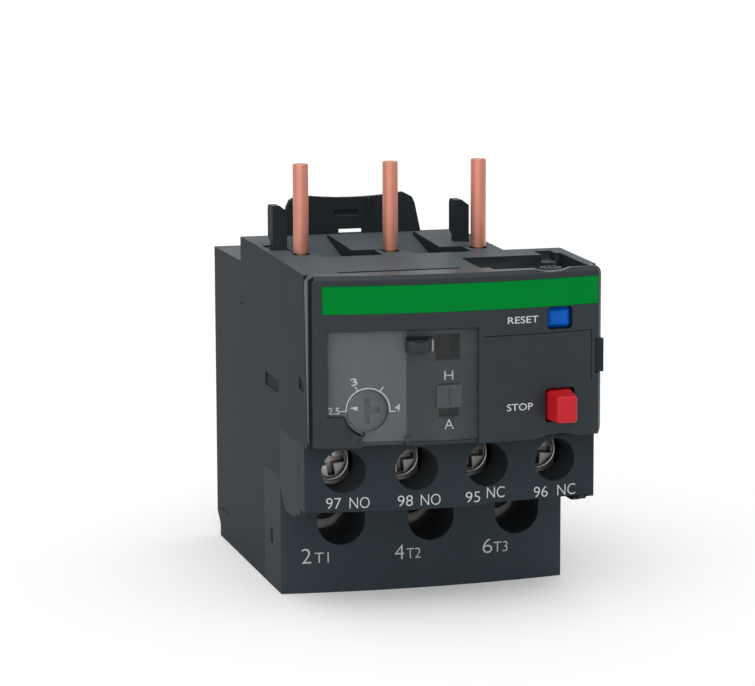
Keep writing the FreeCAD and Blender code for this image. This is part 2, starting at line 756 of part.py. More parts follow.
cover.sink("XZ", *depths(s.cover_inner_depth, s.cover_back_depth - 3), oblong(
    X(s.wall), s.mechanism_low_height, RIGHT - s.wall, s.mechanism_top_height + 2))
LIP = s.fit + 0.8
cover.grow("XZ", *depths(s.cover_inner_depth + 0.4, s.cover_lip_depth), soft_oblong(
    X(s.wall + s.fit), s.mechanism_low_height + s.fit, RIGHT - s.wall - s.fit, s.mechanism_top_height - s.fit, 0.9),
    oblong(X(s.wall + LIP), s.mechanism_low_height + LIP, RIGHT - s.wall - LIP, s.mechanism_top_height - LIP))
SCOOP = 8.8
cover.sink("XZ", *depths(FAR_FRONT, s.cover_back_depth - 3), Disc(X(37.0), s.cover_top_height + SCOOP - 0.45, SCOOP))
ARCH = 10.7
cover.sink("XZ", *depths(FAR_FRONT, s.cover_back_depth - 3), Disc(X(37.7), s.cover_low_height + 0.6 - ARCH, ARCH))
cover.sink("XZ", *depths(FAR_FRONT, s.cover_back_depth - 3), oblong(
    X(s.clip_x), s.clip_low_height, RIGHT + 1, s.clip_top_height))
cover.sink("XY", s.band_low_height, s.band_top_height, bowed(X(s.band_x), X(s.band_right_x), -1, s.band_thickness))
cover.sink("XY", s.window_low_height, s.window_top_height, bowed(
    X(s.window_x), X(s.window_right_x), -1, s.window_depth))
cover.grow("XY", s.window_low_height - 0.2, s.corner_height, bowed(
    X(s.window_x - 0.2), X(s.corner_x), 0, s.window_depth + 0.2))
cover.sink("XZ", *depths(FAR_FRONT, DIAL_FLOOR), Disc(X(s.dial_x), s.dial_height, s.dial_radius + 0.8))
cover.sink("XZ", *depths(FAR_FRONT, s.cover_back_depth), Disc(
    X(s.dial_x), s.dial_height, s.dial_shaft_radius + s.running_fit))
cover.sink("XZ", *depths(FAR_FRONT, s.cover_back_depth), oblong(
    X(s.selector_x - s.selector_slot_half_width), s.selector_slot_low_height,
    X(s.selector_x + s.selector_slot_half_width), s.selector_slot_top_height))
cover.sink("XZ", *depths(FAR_FRONT, s.cover_back_depth), oblong(
    X(s.flag_window_x), s.flag_low_height, X(s.flag_window_right_x), s.flag_top_height))
cover.sink("XZ", *depths(FAR_FRONT, s.cover_back_depth), soft_oblong(
    X(s.reset_x - s.reset_half_width - s.button_clearance), s.reset_low_height - s.button_clearance,
    X(s.reset_x + s.reset_half_width + s.button_clearance), s.reset_top_height + s.button_clearance, 0.7))
cover.sink("XZ", *depths(FAR_FRONT, s.cover_back_depth), soft_oblong(
    X(s.stop_x - s.stop_half_width), s.stop_low_height,
    X(s.stop_x + s.stop_half_width), s.stop_top_height, 0.5))
# knuckle gap at the low edge, set-back strip below the flap, hinge holes and the lug at their right
cover.sink("XY", s.cover_low_height - 1, s.window_low_height + 0.2, bowed(
    X(s.hinge_x - s.fit), X(s.hinge_right_x + s.fit), -1, s.window_depth))
cover.sink("XY", s.cover_low_height - 1, s.window_low_height + 0.2, bowed(
    X(s.hinge_right_x), X(s.window_right_x), -1, s.flap_thickness))
cover.grow("YZ", X(s.hinge_right_x + s.fit), X(s.hinge_right_x + 0.8), outline(
    (Y(s.hinge_depth + s.hinge_radius), s.cover_low_height + 0.3),
    (Y(s.hinge_depth - s.hinge_radius), s.cover_low_height + 0.3),
    (Y(s.hinge_depth - s.hinge_radius), s.hinge_height, s.hinge_radius),
    (Y(s.hinge_depth), s.hinge_height + s.hinge_radius, s.hinge_radius),
    (Y(s.hinge_depth + s.hinge_radius), s.hinge_height)))
cover.sink("YZ", X(s.hinge_x - 0.7), X(s.hinge_right_x + 1.2), Disc(
    Y(s.hinge_depth), s.hinge_height, s.hinge_pin_radius + s.running_fit))

band = Piece("marking_band")
band.grow("XY", s.band_low_height + 0.05, s.band_top_height - 0.05, bowed(
    X(s.band_x + 0.05), X(s.band_right_x - 0.05), 0, s.band_thickness - 0.02))

scale = Piece("scale_plate")
scale.grow("XY", s.window_low_height + 1.2, s.window_top_height - 0.1, bowed(
    X(s.window_x + 0.1), X(s.scale_right_x), s.window_depth - s.scale_thickness, s.window_depth - 0.02))
scale.sink("XZ", *depths(FAR_FRONT, s.cover_back_depth), oblong(
    X(s.window_x - 1), s.window_low_height, X(s.corner_x + 0.1), s.corner_height + 0.1))
scale.sink("XZ", *depths(FAR_FRONT, s.cover_back_depth), Disc(X(s.dial_x), s.dial_height, s.dial_radius + 0.3))

flap = Piece("window_flap")
flap.grow("XY", s.hinge_height + 0.7, s.window_top_height - s.flap_gap, bowed(
    X(s.window_x + s.flap_gap), X(s.window_right_x - s.flap_gap), 0, s.flap_thickness))
flap.sink("XZ", *depths(FAR_FRONT, s.cover_back_depth), oblong(
    X(s.window_x - 1), s.window_low_height, X(s.corner_x + s.flap_gap), s.corner_height + s.flap_gap))
flap.grow("XY", s.hinge_height - 0.1, s.hinge_height + 1.0, bowed(
    X(s.hinge_x), X(s.hinge_right_x), 0.02, s.flap_thickness))
flap.grow("YZ", X(s.hinge_x), X(s.hinge_right_x), Disc(Y(s.hinge_depth), s.hinge_height, s.hinge_radius))
flap.grow("YZ", X(s.hinge_x - 0.6), X(s.hinge_right_x + 0.6), Disc(
    Y(s.hinge_depth), s.hinge_height, s.hinge_pin_radius))
EYELET_X = (s.eyelet_x + s.eyelet_right_x) / 2
EYELET_FRONT = face_y(X(EYELET_X), 0) - s.eyelet_reach
flap.grow("XY", s.eyelet_low_height, s.eyelet_top_height, soft_oblong(
    X(s.eyelet_x), EYELET_FRONT, X(s.eyelet_right_x), face_y(X(EYELET_X), 0.4), 0.35))
flap.sink("XY", s.eyelet_low_height - 1, s.eyelet_top_height + 1, oblong(
    X(s.eyelet_x + 0.8), EYELET_FRONT + 0.55, X(s.eyelet_right_x - 0.8), EYELET_FRONT + 1.4))

dial = Piece("setting_dial")
DISC_BACK = DIAL_FLOOR + 0.02
dial.grow("XZ", *depths(s.dial_face_depth, DISC_BACK), Disc(X(s.dial_x), s.dial_height, s.dial_radius))
for wide, high in ((1.9, 0.35), (0.35, 1.9)):
    dial.sink("XZ", *depths(FAR_FRONT, DISC_BACK + 0.15), oblong(
        X(s.dial_x - wide), s.dial_height - high, X(s.dial_x + wide), s.dial_height + high))
dial.grow("XZ", *depths(DISC_BACK, s.dial_back_depth), Disc(X(s.dial_x), s.dial_height, s.dial_shaft_radius))
dial.grow("XZ", *depths(s.plate_back_depth - 0.1, s.dial_back_depth), Disc(
    X(s.dial_x), s.dial_height - s.cam_offset, s.cam_radius))

selector = Piece("reset_selector")
FLOOR = Y(s.cover_edge_depth + s.cover_bow - s.window_depth)
selector.grow("XZ", FLOOR - 0.42, FLOOR - 0.03, oblong(
    X(s.selector_x - s.selector_half_width), s.selector_low_height,
    X(s.selector_x + s.selector_half_width), s.selector_top_height))
selector.grow("XZ", FLOOR - 0.1, Y(s.cover_inner_depth - 0.9), oblong(
    X(s.selector_x - s.selector_slot_half_width + s.fit), s.selector_low_height + 0.1,
    X(s.selector_x + s.selector_slot_half_width - s.fit), s.selector_top_height - 0.1))
selector.grow("XZ", *depths(s.cover_inner_depth - 0.1, s.cover_inner_depth - 0.9), oblong(
    X(s.selector_x - 2.2), s.selector_low_height - 0.6, X(s.selector_x + 2.2), s.selector_top_height + 0.6))
selector.sink("XZ", FLOOR - 1, FLOOR - 0.2, oblong(
    X(s.selector_x - 0.2), s.selector_low_height + 0.5, X(s.selector_x + 0.2), s.selector_top_height - 0.5))

flag = Piece("trip_indicator")
flag.grow("XZ", *depths(61.2, 60.4), oblong(X(15.6), s.flag_low_height - 0.8, X(23.2), s.flag_top_height + 0.8))
flag.grow("XZ", *depths(60.5, s.plate_back_depth - 1), oblong(X(18.2), 40.0, X(19.6), 41.2))

# ---- buttons and their springs -----------------------------------------------------------------
FLANGE_FRONT = s.cover_inner_depth - 0.08
FLANGE_BACK = FLANGE_FRONT - s.button_flange
STEM_BACK = s.plate_front_depth + s.button_travel + 0.3
RESET_FACE = face_y(X(s.reset_x), s.reset_sink)


def button_foot(button, x, height, half_wide, half_high):
    """Flange behind the cover and the stem that carries the spring."""
    button.grow("XZ", *depths(FLANGE_FRONT, FLANGE_BACK), oblong(
        X(x - half_wide), height - half_high, X(x + half_wide), height + half_high))
    button.grow("XZ", *depths(FLANGE_BACK + 0.1, STEM_BACK), flats(X(x), height, 2 * s.spring_radius - 1.4))


RESET_HEIGHT = (s.reset_low_height + s.reset_top_height) / 2
reset = Piece("reset_button")
reset.grow("XZ", RESET_FACE, Y(FLANGE_FRONT - 0.1), soft_oblong(
    X(s.reset_x - s.reset_half_width), s.reset_low_height,
    X(s.reset_x + s.reset_half_width), s.reset_top_height, 0.6))
reset.dress("Chamfer", 0.45, lambda middle, along: middle.y < RESET_FACE.value + 0.01)
button_foot(reset, s.reset_x, RESET_HEIGHT, 2.6, 2.1)

STOP_HEIGHT = (s.stop_low_height + s.stop_top_height) / 2
STOP_ROOT = s.cover_inner_depth - 0.1
stop = Piece("stop_button")
base = stop.sketch("XZ", Y(STOP_ROOT), [oblong(
    X(s.stop_x - s.stop_half_width + s.button_clearance), s.stop_low_height + s.button_clearance,
    X(s.stop_x + s.stop_half_width - s.button_clearance), s.stop_top_height - s.button_clearance)])
FACE_X = s.stop_x - 0.25
tip = stop.sketch("XZ", Y(s.stop_front_depth), [oblong(
    X(FACE_X - 1.55), s.stop_low_height + 0.45, X(FACE_X + 1.55), s.stop_top_height - 0.65)])
taper = stop.body.newObject("PartDesign::AdditiveLoft", "stop_taper")
taper.Profile = base
taper.Sections = [tip]
taper.Ruled = True
stop.body.Tip = taper
stop.dress("Chamfer", 0.3, lambda middle, along: (
    middle.y < Y(s.stop_front_depth).value + 0.01 or abs(along.y) > 0.9))
button_foot(stop, s.stop_x, STOP_HEIGHT, 3.0, 2.75)


def winding(node, corners, half):
    """Wire of square section laid along straight runs and mitred where they meet."""
    points = [FreeCAD.Vector(*[as_size(part).value for part in corner]) for corner in corners]
    path = doc.addObject("Part::Feature", f"{node}_path")
    path.Shape = Part.makePolygon(points)
    run = (points[1] - points[0]).normalize()
    side = run.cross(FreeCAD.Vector(0, 0, 1)).normalize() * half.value
    rise = side.cross(run)
    ring = [points[0] + side * a + rise * b for a, b in ((-1, -1), (1, -1), (1, 1), (-1, 1), (-1, -1))]
    section = doc.addObject("Part::Feature", f"{node}_section")
    section.Shape = Part.makePolygon(ring)
    wound = doc.addObject("Part::Sweep", node)
    wound.Sections = [section]
    wound.Spine = (path, [])
    wound.Solid = True
    wound.Transition = "Right corner"
    wound.Label = node
    pieces.append(wound)


def spring(node, x, height):
    """Pressure spring of a button, wound in eight flats a turn round the button's stem."""
    flats = int(8 * s.spring_turns.value)
    radius = s.spring_radius - 0.2
    step = (SPRING_HIGH - SPRING_LOW) / flats
    winding(node, [(
        X(x) + radius * math.cos(math.pi * place / 4), SPRING_LOW + step * place,
        height + radius * math.sin(math.pi * place / 4)) for place in range(flats + 1)], s.spring_wire)


def heater(node, x):
    """Winding laid square round a strip, with both ends at its left."""
    lap = [(-1, 0)] + [(-1, 1), (1, 1), (1, -1), (-1, -1)] * int(s.heater_turns.value) + [(-1, 0)]
    runs = [0]
    for (u, v), (next_u, next_v) in zip(lap, lap[1:]):
        runs.append(runs[-1] + abs(next_u - u) * s.heater_half_width.value
                    + abs(next_v - v) * s.heater_half_depth.value)
    rise = HEATER_TOP - s.heater_low_height
    winding(node, [(
        X(x) + s.heater_half_width * u, Y(s.strip_mid_depth) + s.heater_half_depth * v,
        s.heater_low_height + rise * (run / runs[-1])) for (u, v), run in zip(lap, runs)], s.heater_wire)


SPRING_LOW = Y(FLANGE_BACK) + 1.5 * s.spring_wire
SPRING_HIGH = Y(s.plate_front_depth) - 1.5 * s.spring_wire
spring("reset_spring", s.reset_x, RESET_HEIGHT)
spring("stop_spring", s.stop_x, STOP_HEIGHT)

# ---- main circuit: pins, heaters, strips, terminals --------------------------------------------
STRIP_BACK = s.strip_mid_depth - s.strip_width / 2
STRIP_FRONT = s.strip_mid_depth + s.strip_width / 2
HEATER_TOP = s.pin_low_height - s.heater_wire + 0.01
PLATE_BACK = PLATE_FRONT - s.terminal_thickness
SHELF_LOW = s.strip_low_height - 1.2

for number, (x, pin_x) in enumerate(zip(POLES, PINS), start=1):
    pin = Piece(f"line_pin_{number}")
    pin.grow("XY", TOP - s.pin_shoulder_drop, s.pin_top_height, Disc(X(pin_x), Y(s.pin_depth), s.pin_radius))
    pin.grow("XY", s.pin_low_height, TOP - s.pin_shoulder_drop + 0.1, oblong(
        X(pin_x - s.pin_neck_half), Y(s.pin_depth + s.pin_neck_half),
        X(pin_x + s.pin_neck_half), Y(s.pin_depth - s.pin_neck_half)))
    pin.grow("XY", s.pin_low_height, s.pin_low_height + 1.2, oblong(
        X(pin_x - 1.5), Y(s.pin_depth + 1.5), X(pin_x + 1.5), Y(s.strip_mid_depth - 1.5)))
    pin.grow("XY", s.pin_low_height, s.pin_low_height + 1.2, oblong(
        X(pin_x + 1.4), Y(s.strip_mid_depth + 0.8), X(x - s.heater_half_width + 2.4), Y(s.strip_mid_depth - 1.5)))
    pin.sink("XY", s.pin_low_height - 1, s.pin_low_height + 3, oblong(
        X(x - 3.0), Y(STRIP_FRONT + 2), X(x + 3.0), Y(STRIP_BACK - 2)))

    terminal = Piece(f"load_terminal_{number}")
    terminal.grow("XZ", *depths(PLATE_FRONT, PLATE_BACK), oblong(
        X(x - s.saddle_half_width), s.terminal_low_height, X(x + s.saddle_half_width), s.strip_low_height))
    terminal.grow("XZ", *depths(PLATE_BACK, PLATE_BACK - s.nut_length), oblong(
        X(x - s.nut_radius), s.power_screw_height - s.nut_radius,
        X(x + s.nut_radius), s.power_screw_height + s.nut_radius))
    terminal.sink("XZ", *depths(PLATE_FRONT + 1, PLATE_BACK - s.nut_length - 1), flats(
        X(x), s.power_screw_height, 2 * s.power_shank_radius + 2 * s.running_fit))
    terminal.grow("XY", SHELF_LOW, s.strip_low_height, oblong(
        X(x - 3.4), Y(PLATE_FRONT), X(x + 3.4), Y(STRIP_BACK)))
    terminal.grow("XY", SHELF_LOW, s.strip_low_height, oblong(
        X(x - s.heater_half_width - 1), Y(s.strip_mid_depth + 1.2), X(x - 3.0), Y(s.strip_mid_depth - 1)))
    terminal.grow("XY", SHELF_LOW, s.heater_low_height - s.heater_wire + 0.01, oblong(
        X(x - s.heater_half_width - 1), Y(s.strip_mid_depth + 1.2),
        X(x - s.heater_half_width + 0.6), Y(s.strip_mid_depth - 1)))

    clamp = Piece(f"terminal_clamp_{number}")
    clamp.grow("XZ", *depths(SADDLE_FRONT, SADDLE_FRONT - s.saddle_thickness), oblong(
        X(x - s.saddle_half_width), s.saddle_low_height, X(x + s.saddle_half_width), s.saddle_top_height),
        flats(X(x), s.power_screw_height, 2 * s.power_shank_radius + 2 * s.fit))

    strip = Piece(f"bimetal_{number}")
    strip.grow("XY", s.strip_low_height + 0.05, s.strip_top_height, oblong(
        X(x - s.strip_thickness / 2), Y(STRIP_FRONT), X(x + s.strip_thickness / 2), Y(STRIP_BACK)))

    heater(f"heater_{number}", x)


def fasteners(node, places, height, front, head_radius, head_length, shank_radius, shank_length):
    """Alike cross slot screws, kept together as one node."""
    screws = []
    for place, x in enumerate(places, start=1):
        screw = Piece(f"{node}_{place}")
        pieces.remove(screw.body)
        screw.grow("XZ", *depths(front, front - head_length), Disc(X(x), height, head_radius))
        screw.grow("XZ", *depths(front - head_length, front - head_length - shank_length), flats(
            X(x), height, 2 * shank_radius))
        for wide, high in ((head_radius * 0.68, 0.32), (0.32, head_radius * 0.68)):
            screw.sink("XZ", *depths(front + 1, front - head_length * 0.55), oblong(
                X(x - wide), height - high, X(x + wide), height + high))
        screws.append(screw.body)
    group = doc.addObject("Part::Compound", node)
    group.Links = screws
    group.Label = node
    pieces.append(group)


fasteners("power_screws", POLES, s.power_screw_height, s.power_head_front_depth, s.power_head_radius,
          s.power_head_length, s.power_shank_radius, s.power_shank_length)
AUX_NUT_BACK = AUX_PLATE_FRONT - s.aux_plate_thickness - s.aux_nut_length
fasteners("aux_screws", AUX, s.aux_height, s.aux_head_front_depth, s.aux_head_radius,
          s.aux_head_length, s.aux_shank_radius, AUX_SADDLE_FRONT - AUX_NUT_BACK - 0.1)

# ---- auxiliary terminals and contacts ----------------------------------------------------------
saddles = []
for place, x in enumerate(AUX, start=1):
    saddle = Piece(f"aux_saddle_{place}")
    pieces.remove(saddle.body)
    saddle.grow("XZ", *depths(AUX_SADDLE_FRONT, AUX_SADDLE_FRONT - s.aux_saddle_thickness), oblong(
        X(x - 3.4), s.aux_height - 3.6, X(x + 3.4), s.aux_height + 3.6),
        flats(X(x), s.aux_height, 2 * s.aux_shank_radius + 2 * s.fit))
    saddles.append(saddle.body)
aux_clamps = doc.addObject("Part::Compound", "aux_clamps")
aux_clamps.Links = saddles
aux_clamps.Label = "aux_clamps"
pieces.append(aux_clamps)

AUX_PLATE_BACK = AUX_PLATE_FRONT - s.aux_plate_thickness
NO_CONTACT = AUX_PLATE_FRONT + s.contact_thickness
NO_BRIDGE_BACK = NO_CONTACT + s.carrier_travel + s.contact_rest + s.contact_thickness
NC_TAB_BACK = s.nc_tab_depth - s.aux_plate_thickness
NC_BRIDGE_FRONT = NC_TAB_BACK - 2 * s.contact_thickness - s.contact_rest


def fixed_contact(node, x, closed):
    """Terminal plate with its threaded boss, a riser through the floor and a contact on it."""
    plate = Piece(node)
    plate.grow("XZ", *depths(AUX_PLATE_FRONT, AUX_PLATE_BACK), oblong(
        X(x - 3.6), s.aux_pocket_low_height + 0.3, X(x + 3.6), s.aux_pocket_top_height - 0.3))
    plate.grow("XZ", *depths(AUX_PLATE_BACK, AUX_NUT_BACK), oblong(
        X(x - s.aux_nut_radius), s.aux_height - s.aux_nut_radius,
        X(x + s.aux_nut_radius), s.aux_height + s.aux_nut_radius))
    plate.sink("XZ", *depths(AUX_PLATE_FRONT + 1, AUX_NUT_BACK - 1), flats(
        X(x), s.aux_height, 2 * s.aux_shank_radius + 2 * s.running_fit))
    high = s.mechanism_low_height + 0.9 if closed else s.contact_height + 1.2
    plate.grow("XZ", *depths(AUX_PLATE_FRONT, AUX_PLATE_BACK), oblong(
        X(x - 1.3), s.aux_pocket_top_height - 0.4, X(x + 1.3), high))
    if closed:
        plate.grow("XY", s.mechanism_low_height + 0.1, high, oblong(
            X(x - 1.3), Y(s.nc_tab_depth), X(x + 1.3), Y(AUX_PLATE_BACK)))
        plate.grow("XZ", *depths(s.nc_tab_depth, NC_TAB_BACK), oblong(
            X(x - 1.3), s.mechanism_low_height + 0.1, X(x + 1.3), s.contact_height + 1.2))
        plate.grow("XZ", *depths(NC_TAB_BACK, NC_TAB_BACK - s.contact_thickness), flats(
            X(x), s.contact_height, 2 * s.contact_radius))
    else:
        plate.grow("XZ", *depths(NO_CONTACT, AUX_PLATE_FRONT), flats(
            X(x), s.contact_height, 2 * s.contact_radius))


fixed_contact("aux_plate_97", AUX[0], False)
fixed_contact("aux_plate_98", AUX[1], False)
fixed_contact("aux_plate_95", AUX[2], True)
fixed_contact("aux_plate_96", AUX[3], True)


def bridge(node, left_x, right_x, front, contact_front, contact_back):
    """Moving bar with a contact at each end."""
    bar = Piece(node)
    bar.grow("XZ", *depths(front, front - s.bridge_thickness), oblong(
        X(left_x - 1.4), s.contact_height - 1.1, X(right_x + 1.4), s.carrier_low_height - 0.02))
    bar.grow("XZ", *depths(contact_front, contact_back), *[flats(
        X(x), s.contact_height, 2 * s.contact_radius) for x in (left_x, right_x)])


NO_BRIDGE_FRONT = NO_BRIDGE_BACK + s.bridge_thickness
bridge("no_bridge", AUX[0], AUX[1], NO_BRIDGE_FRONT, NO_BRIDGE_BACK, NO_BRIDGE_BACK - s.contact_thickness)
bridge("nc_bridge", AUX[2], AUX[3], NC_BRIDGE_FRONT, NC_BRIDGE_FRONT + s.contact_thickness, NC_BRIDGE_FRONT)

# ---- trip mechanism ----------------------------------------------------------------------------
BAR_TOP = s.bar_low_height + s.bar_thickness


def slide_bar(node, back, side):
    """Bar across the poles with one tooth beside each strip, on the side given."""
    bar = Piece(node)
    bar.grow("XY", s.bar_low_height, BAR_TOP, oblong(
        X(s.bar_x), Y(back + s.bar_width), X(s.bar_right_x), Y(back)))
    near = s.strip_thickness / 2 + (s.tooth_gap if side > 0 else s.tooth_gap + 0.07)
    for x in POLES:
        ends = (x + near, x + near + s.tooth_width) if side > 0 else (x - near - s.tooth_width, x - near)
        bar.grow("XY", s.strip_top_height - 1.2, s.bar_low_height, oblong(
            X(ends[0]), Y(back + s.bar_width), X(ends[1]), Y(back)))


slide_bar("pusher_slide", STRIP_BACK + 0.2, 1)
slide_bar("differential_slide", STRIP_FRONT - s.bar_width - 0.2, -1)

lever = Piece("differential_lever")
lever.grow("XY", s.bar_low_height, BAR_TOP, oblong(
    X(s.bar_right_x + 0.05), Y(STRIP_FRONT + 1.6), X(s.pivot_x - 0.34), Y(STRIP_BACK + 0.2)))

pivot = Piece("trip_pivot")
pivot.grow("XY", s.bar_low_height - 4.0, BAR_TOP + 2.2, Disc(X(s.pivot_x), Y(s.pivot_depth), s.pivot_radius))

crank = Piece("trip_lever")
crank.grow("XY", s.bar_low_height - s.lever_hub_reach, BAR_TOP + s.lever_hub_reach, flats(
    X(s.pivot_x), Y(s.pivot_depth), 2 * s.lever_hub_radius))
crank.grow("XY", s.bar_low_height, BAR_TOP, oblong(
    X(s.lever_arm_x), Y(s.pivot_depth + 0.5), X(s.pivot_x), Y(s.pivot_depth - 0.5)))
crank.grow("XY", s.bar_low_height, BAR_TOP, oblong(
    X(s.pivot_x - 0.9), Y(s.pivot_depth), X(s.pivot_x + 0.9), Y(s.pivot_depth - 5.6)))
crank.sink("XY", s.bar_low_height - 3, BAR_TOP + 3, Disc(
    X(s.pivot_x), Y(s.pivot_depth), s.pivot_radius + s.running_fit))
crank.sink("XY", s.bar_low_height - 3, BAR_TOP + 3, oblong(
    X(s.pivot_x - 0.25), Y(s.pivot_depth - 2.4), X(s.pivot_x + 0.25), Y(s.pivot_depth - 6)))

thin = Piece("compensating_strip")
thin.grow("XY", s.bar_low_height + 0.05, BAR_TOP - 0.05, oblong(
    X(s.pivot_x - 0.22), Y(s.pivot_depth - 2.6), X(s.pivot_x + 0.22), Y(STRIP_FRONT + 0.4)))

carrier = Piece("contact_carrier")
carrier.grow("XY", s.carrier_low_height, s.carrier_top_height, oblong(
    X(AUX[0] - 1.2), Y(s.carrier_front_depth), X(AUX[3] + 1.2), Y(s.carrier_back_depth)))
FINGER = s.pivot_depth - 0.5 - 0.1
carrier.grow("XY", s.carrier_low_height, s.carrier_top_height, oblong(
    X(s.lever_arm_x), Y(s.carrier_back_depth + 0.5), X(s.lever_arm_x + 2.0), Y(FINGER - 1.2)))
carrier.grow("XY", s.carrier_low_height, BAR_TOP + 0.4, oblong(
    X(s.lever_arm_x), Y(FINGER), X(s.lever_arm_x + 2.0), Y(FINGER - 1.2)))

snap = Piece("toggle_spring")
snap.grow("XZ", *depths(s.carrier_front_depth - 0.4, s.carrier_back_depth + 0.6), outline(
    (X(30.0), s.carrier_top_height), (X(36.0), s.carrier_top_height), (X(36.0), s.carrier_top_height + 0.3),
    (X(30.3), s.carrier_top_height + 0.3), (X(30.3), s.carrier_top_height + 1.2),
    (X(36.0), s.carrier_top_height + 1.6), (X(36.0), s.carrier_top_height + 1.9),
    (X(30.0), s.carrier_top_height + 1.5)))

plate = Piece("mechanism_plate")
plate.grow("XZ", *depths(s.plate_front_depth, s.plate_back_depth), soft_oblong(
    X(s.wall + s.fit), s.mechanism_low_height + s.fit, RIGHT - s.wall - s.fit, s.mechanism_top_height - s.fit, 0.9),
    Disc(X(s.dial_x), s.dial_height, s.dial_shaft_radius + s.running_fit),
    oblong(X(17.9), 39.7, X(19.9 + s.slide_travel), 41.5))
plate.grow("XY", s.bar_low_height - 4.0, s.bar_low_height - 1.2, oblong(
    X(s.pivot_x - 1.3), Y(s.plate_back_depth), RIGHT - s.wall - s.fit, Y(s.pivot_depth - 1.8)))
plate.sink("XY", s.bar_low_height - 5.0, s.bar_low_height, Disc(
    X(s.pivot_x), Y(s.pivot_depth), s.pivot_radius + 0.01))

# ---- checks and files --------------------------------------------------------------------------
doc.recompute()
for item in doc.Objects:
    if "Invalid" in item.State or "Error" in item.State:
        raise RuntimeError(f"{item.Label}: {item.State}")
for piece in pieces:
    shape = piece.Shape
    if shape.isNull() or not shape.isValid() or not shape.Solids:
        raise RuntimeError(f"{piece.Label}: no valid solid")
for feature in doc.Objects:
    if feature.TypeId == "PartDesign::Pocket" and feature.BaseFeature:
        if feature.Shape.Volume > feature.BaseFeature.Shape.Volume - 1e-4:
            raise RuntimeError(f"{feature.Label}: removes nothing")
os.makedirs("parts", exist_ok=True)
for piece in pieces:
    piece.Shape.exportStep(f"parts/{piece.Label}.step")
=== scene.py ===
import json
import math

import bmesh
import bpy
from bpy.props import FloatProperty, FloatVectorProperty, PointerProperty
from mathutils import Euler, Matrix, Vector

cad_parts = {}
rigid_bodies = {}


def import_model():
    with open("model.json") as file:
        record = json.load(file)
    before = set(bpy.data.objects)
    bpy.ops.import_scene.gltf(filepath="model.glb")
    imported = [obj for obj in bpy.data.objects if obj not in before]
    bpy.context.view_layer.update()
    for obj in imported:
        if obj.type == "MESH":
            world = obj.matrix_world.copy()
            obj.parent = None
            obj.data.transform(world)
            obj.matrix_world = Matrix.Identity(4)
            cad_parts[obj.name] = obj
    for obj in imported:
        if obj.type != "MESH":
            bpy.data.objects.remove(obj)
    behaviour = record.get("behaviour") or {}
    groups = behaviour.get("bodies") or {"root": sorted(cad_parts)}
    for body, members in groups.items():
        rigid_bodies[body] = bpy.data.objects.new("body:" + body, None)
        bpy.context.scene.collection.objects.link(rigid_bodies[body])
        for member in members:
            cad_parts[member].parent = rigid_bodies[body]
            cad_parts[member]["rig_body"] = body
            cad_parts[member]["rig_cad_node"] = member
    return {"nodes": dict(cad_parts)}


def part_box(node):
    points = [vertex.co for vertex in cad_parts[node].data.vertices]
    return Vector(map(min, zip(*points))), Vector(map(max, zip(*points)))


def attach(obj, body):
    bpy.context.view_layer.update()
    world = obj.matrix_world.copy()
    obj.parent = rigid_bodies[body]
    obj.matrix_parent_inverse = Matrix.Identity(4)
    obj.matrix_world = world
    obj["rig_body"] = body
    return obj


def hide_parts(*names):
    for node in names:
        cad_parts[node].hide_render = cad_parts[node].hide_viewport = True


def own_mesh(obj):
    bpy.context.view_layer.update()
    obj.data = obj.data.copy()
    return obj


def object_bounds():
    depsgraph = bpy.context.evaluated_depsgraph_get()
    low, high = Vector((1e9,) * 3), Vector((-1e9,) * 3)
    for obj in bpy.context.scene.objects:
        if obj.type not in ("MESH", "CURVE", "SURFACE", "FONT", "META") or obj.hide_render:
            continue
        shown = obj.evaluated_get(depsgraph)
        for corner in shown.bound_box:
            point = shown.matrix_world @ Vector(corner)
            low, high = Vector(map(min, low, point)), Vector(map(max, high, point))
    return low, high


bl_info = {
    "name": "Overload relay looks",
    "version": (1, 0, 0),
    "blender": (4, 5, 0),
    "location": "3D View > Sidebar > Relay",
    "description": "Finishes, markings, screws and studio for a plug-in thermal overload relay",
    "category": "Object",
}

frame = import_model()
CAD_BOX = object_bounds()
MM = 0.001
LEFT_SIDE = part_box("terminal_block")[0].x
BACK_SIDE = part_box("rear_cover")[1].y
TO_FRONT = (math.radians(90), 0, 0)

# ---- sizes and colours ----------------------------------------------------------------------


def length(name, description, millimetres):
    """A length property; its default is given in millimetres."""
    return FloatProperty(
        name=name, description=description, default=millimetres * MM, unit="LENGTH", precision=5
    )


def colour(name, description, red, green, blue):
    return FloatVectorProperty(
        name=name, description=description, default=(red, green, blue), min=0, max=1,
        size=3, subtype="COLOR",
    )


def share(name, description, default):
    return FloatProperty(
        name=name, description=description, default=default, min=0, max=1, subtype="FACTOR"
    )


class RelayColours(bpy.types.PropertyGroup):
    case: colour("Case", "Moulded case, back and top", 0.024, 0.029, 0.032)
    block: colour("Terminal blocks", "Moulded terminal blocks", 0.030, 0.039, 0.046)
    cover: colour("Front cover", "Moulded front cover", 0.019, 0.026, 0.032)
    scale: colour("Scale plate", "Lighter plate under the flap", 0.092, 0.100, 0.106)
    flap: colour("Flap", "Tint of the clear flap", 0.31, 0.34, 0.35)
    flap_cover: share("Flap cover", "How much the clear flap hides", 0.05)
    marks: colour("Marks", "Printed letters and lines", 0.60, 0.61, 0.62)
    band: colour("Band", "Printed green band", 0.0, 0.225, 0.029)
    reset: colour("Reset button", "Moulded reset button", 0.0, 0.105, 0.52)
    stop: colour("Stop button", "Moulded stop button", 0.52, 0.010, 0.018)
    flag: colour("Flag", "Trip flag behind its window", 0.034, 0.024, 0.021)
    copper: colour("Copper", "Drawn copper of the line pins", 0.55, 0.235, 0.172)
    steel: colour("Zinc plated steel", "Screws and clamps", 0.80, 0.79, 0.76)


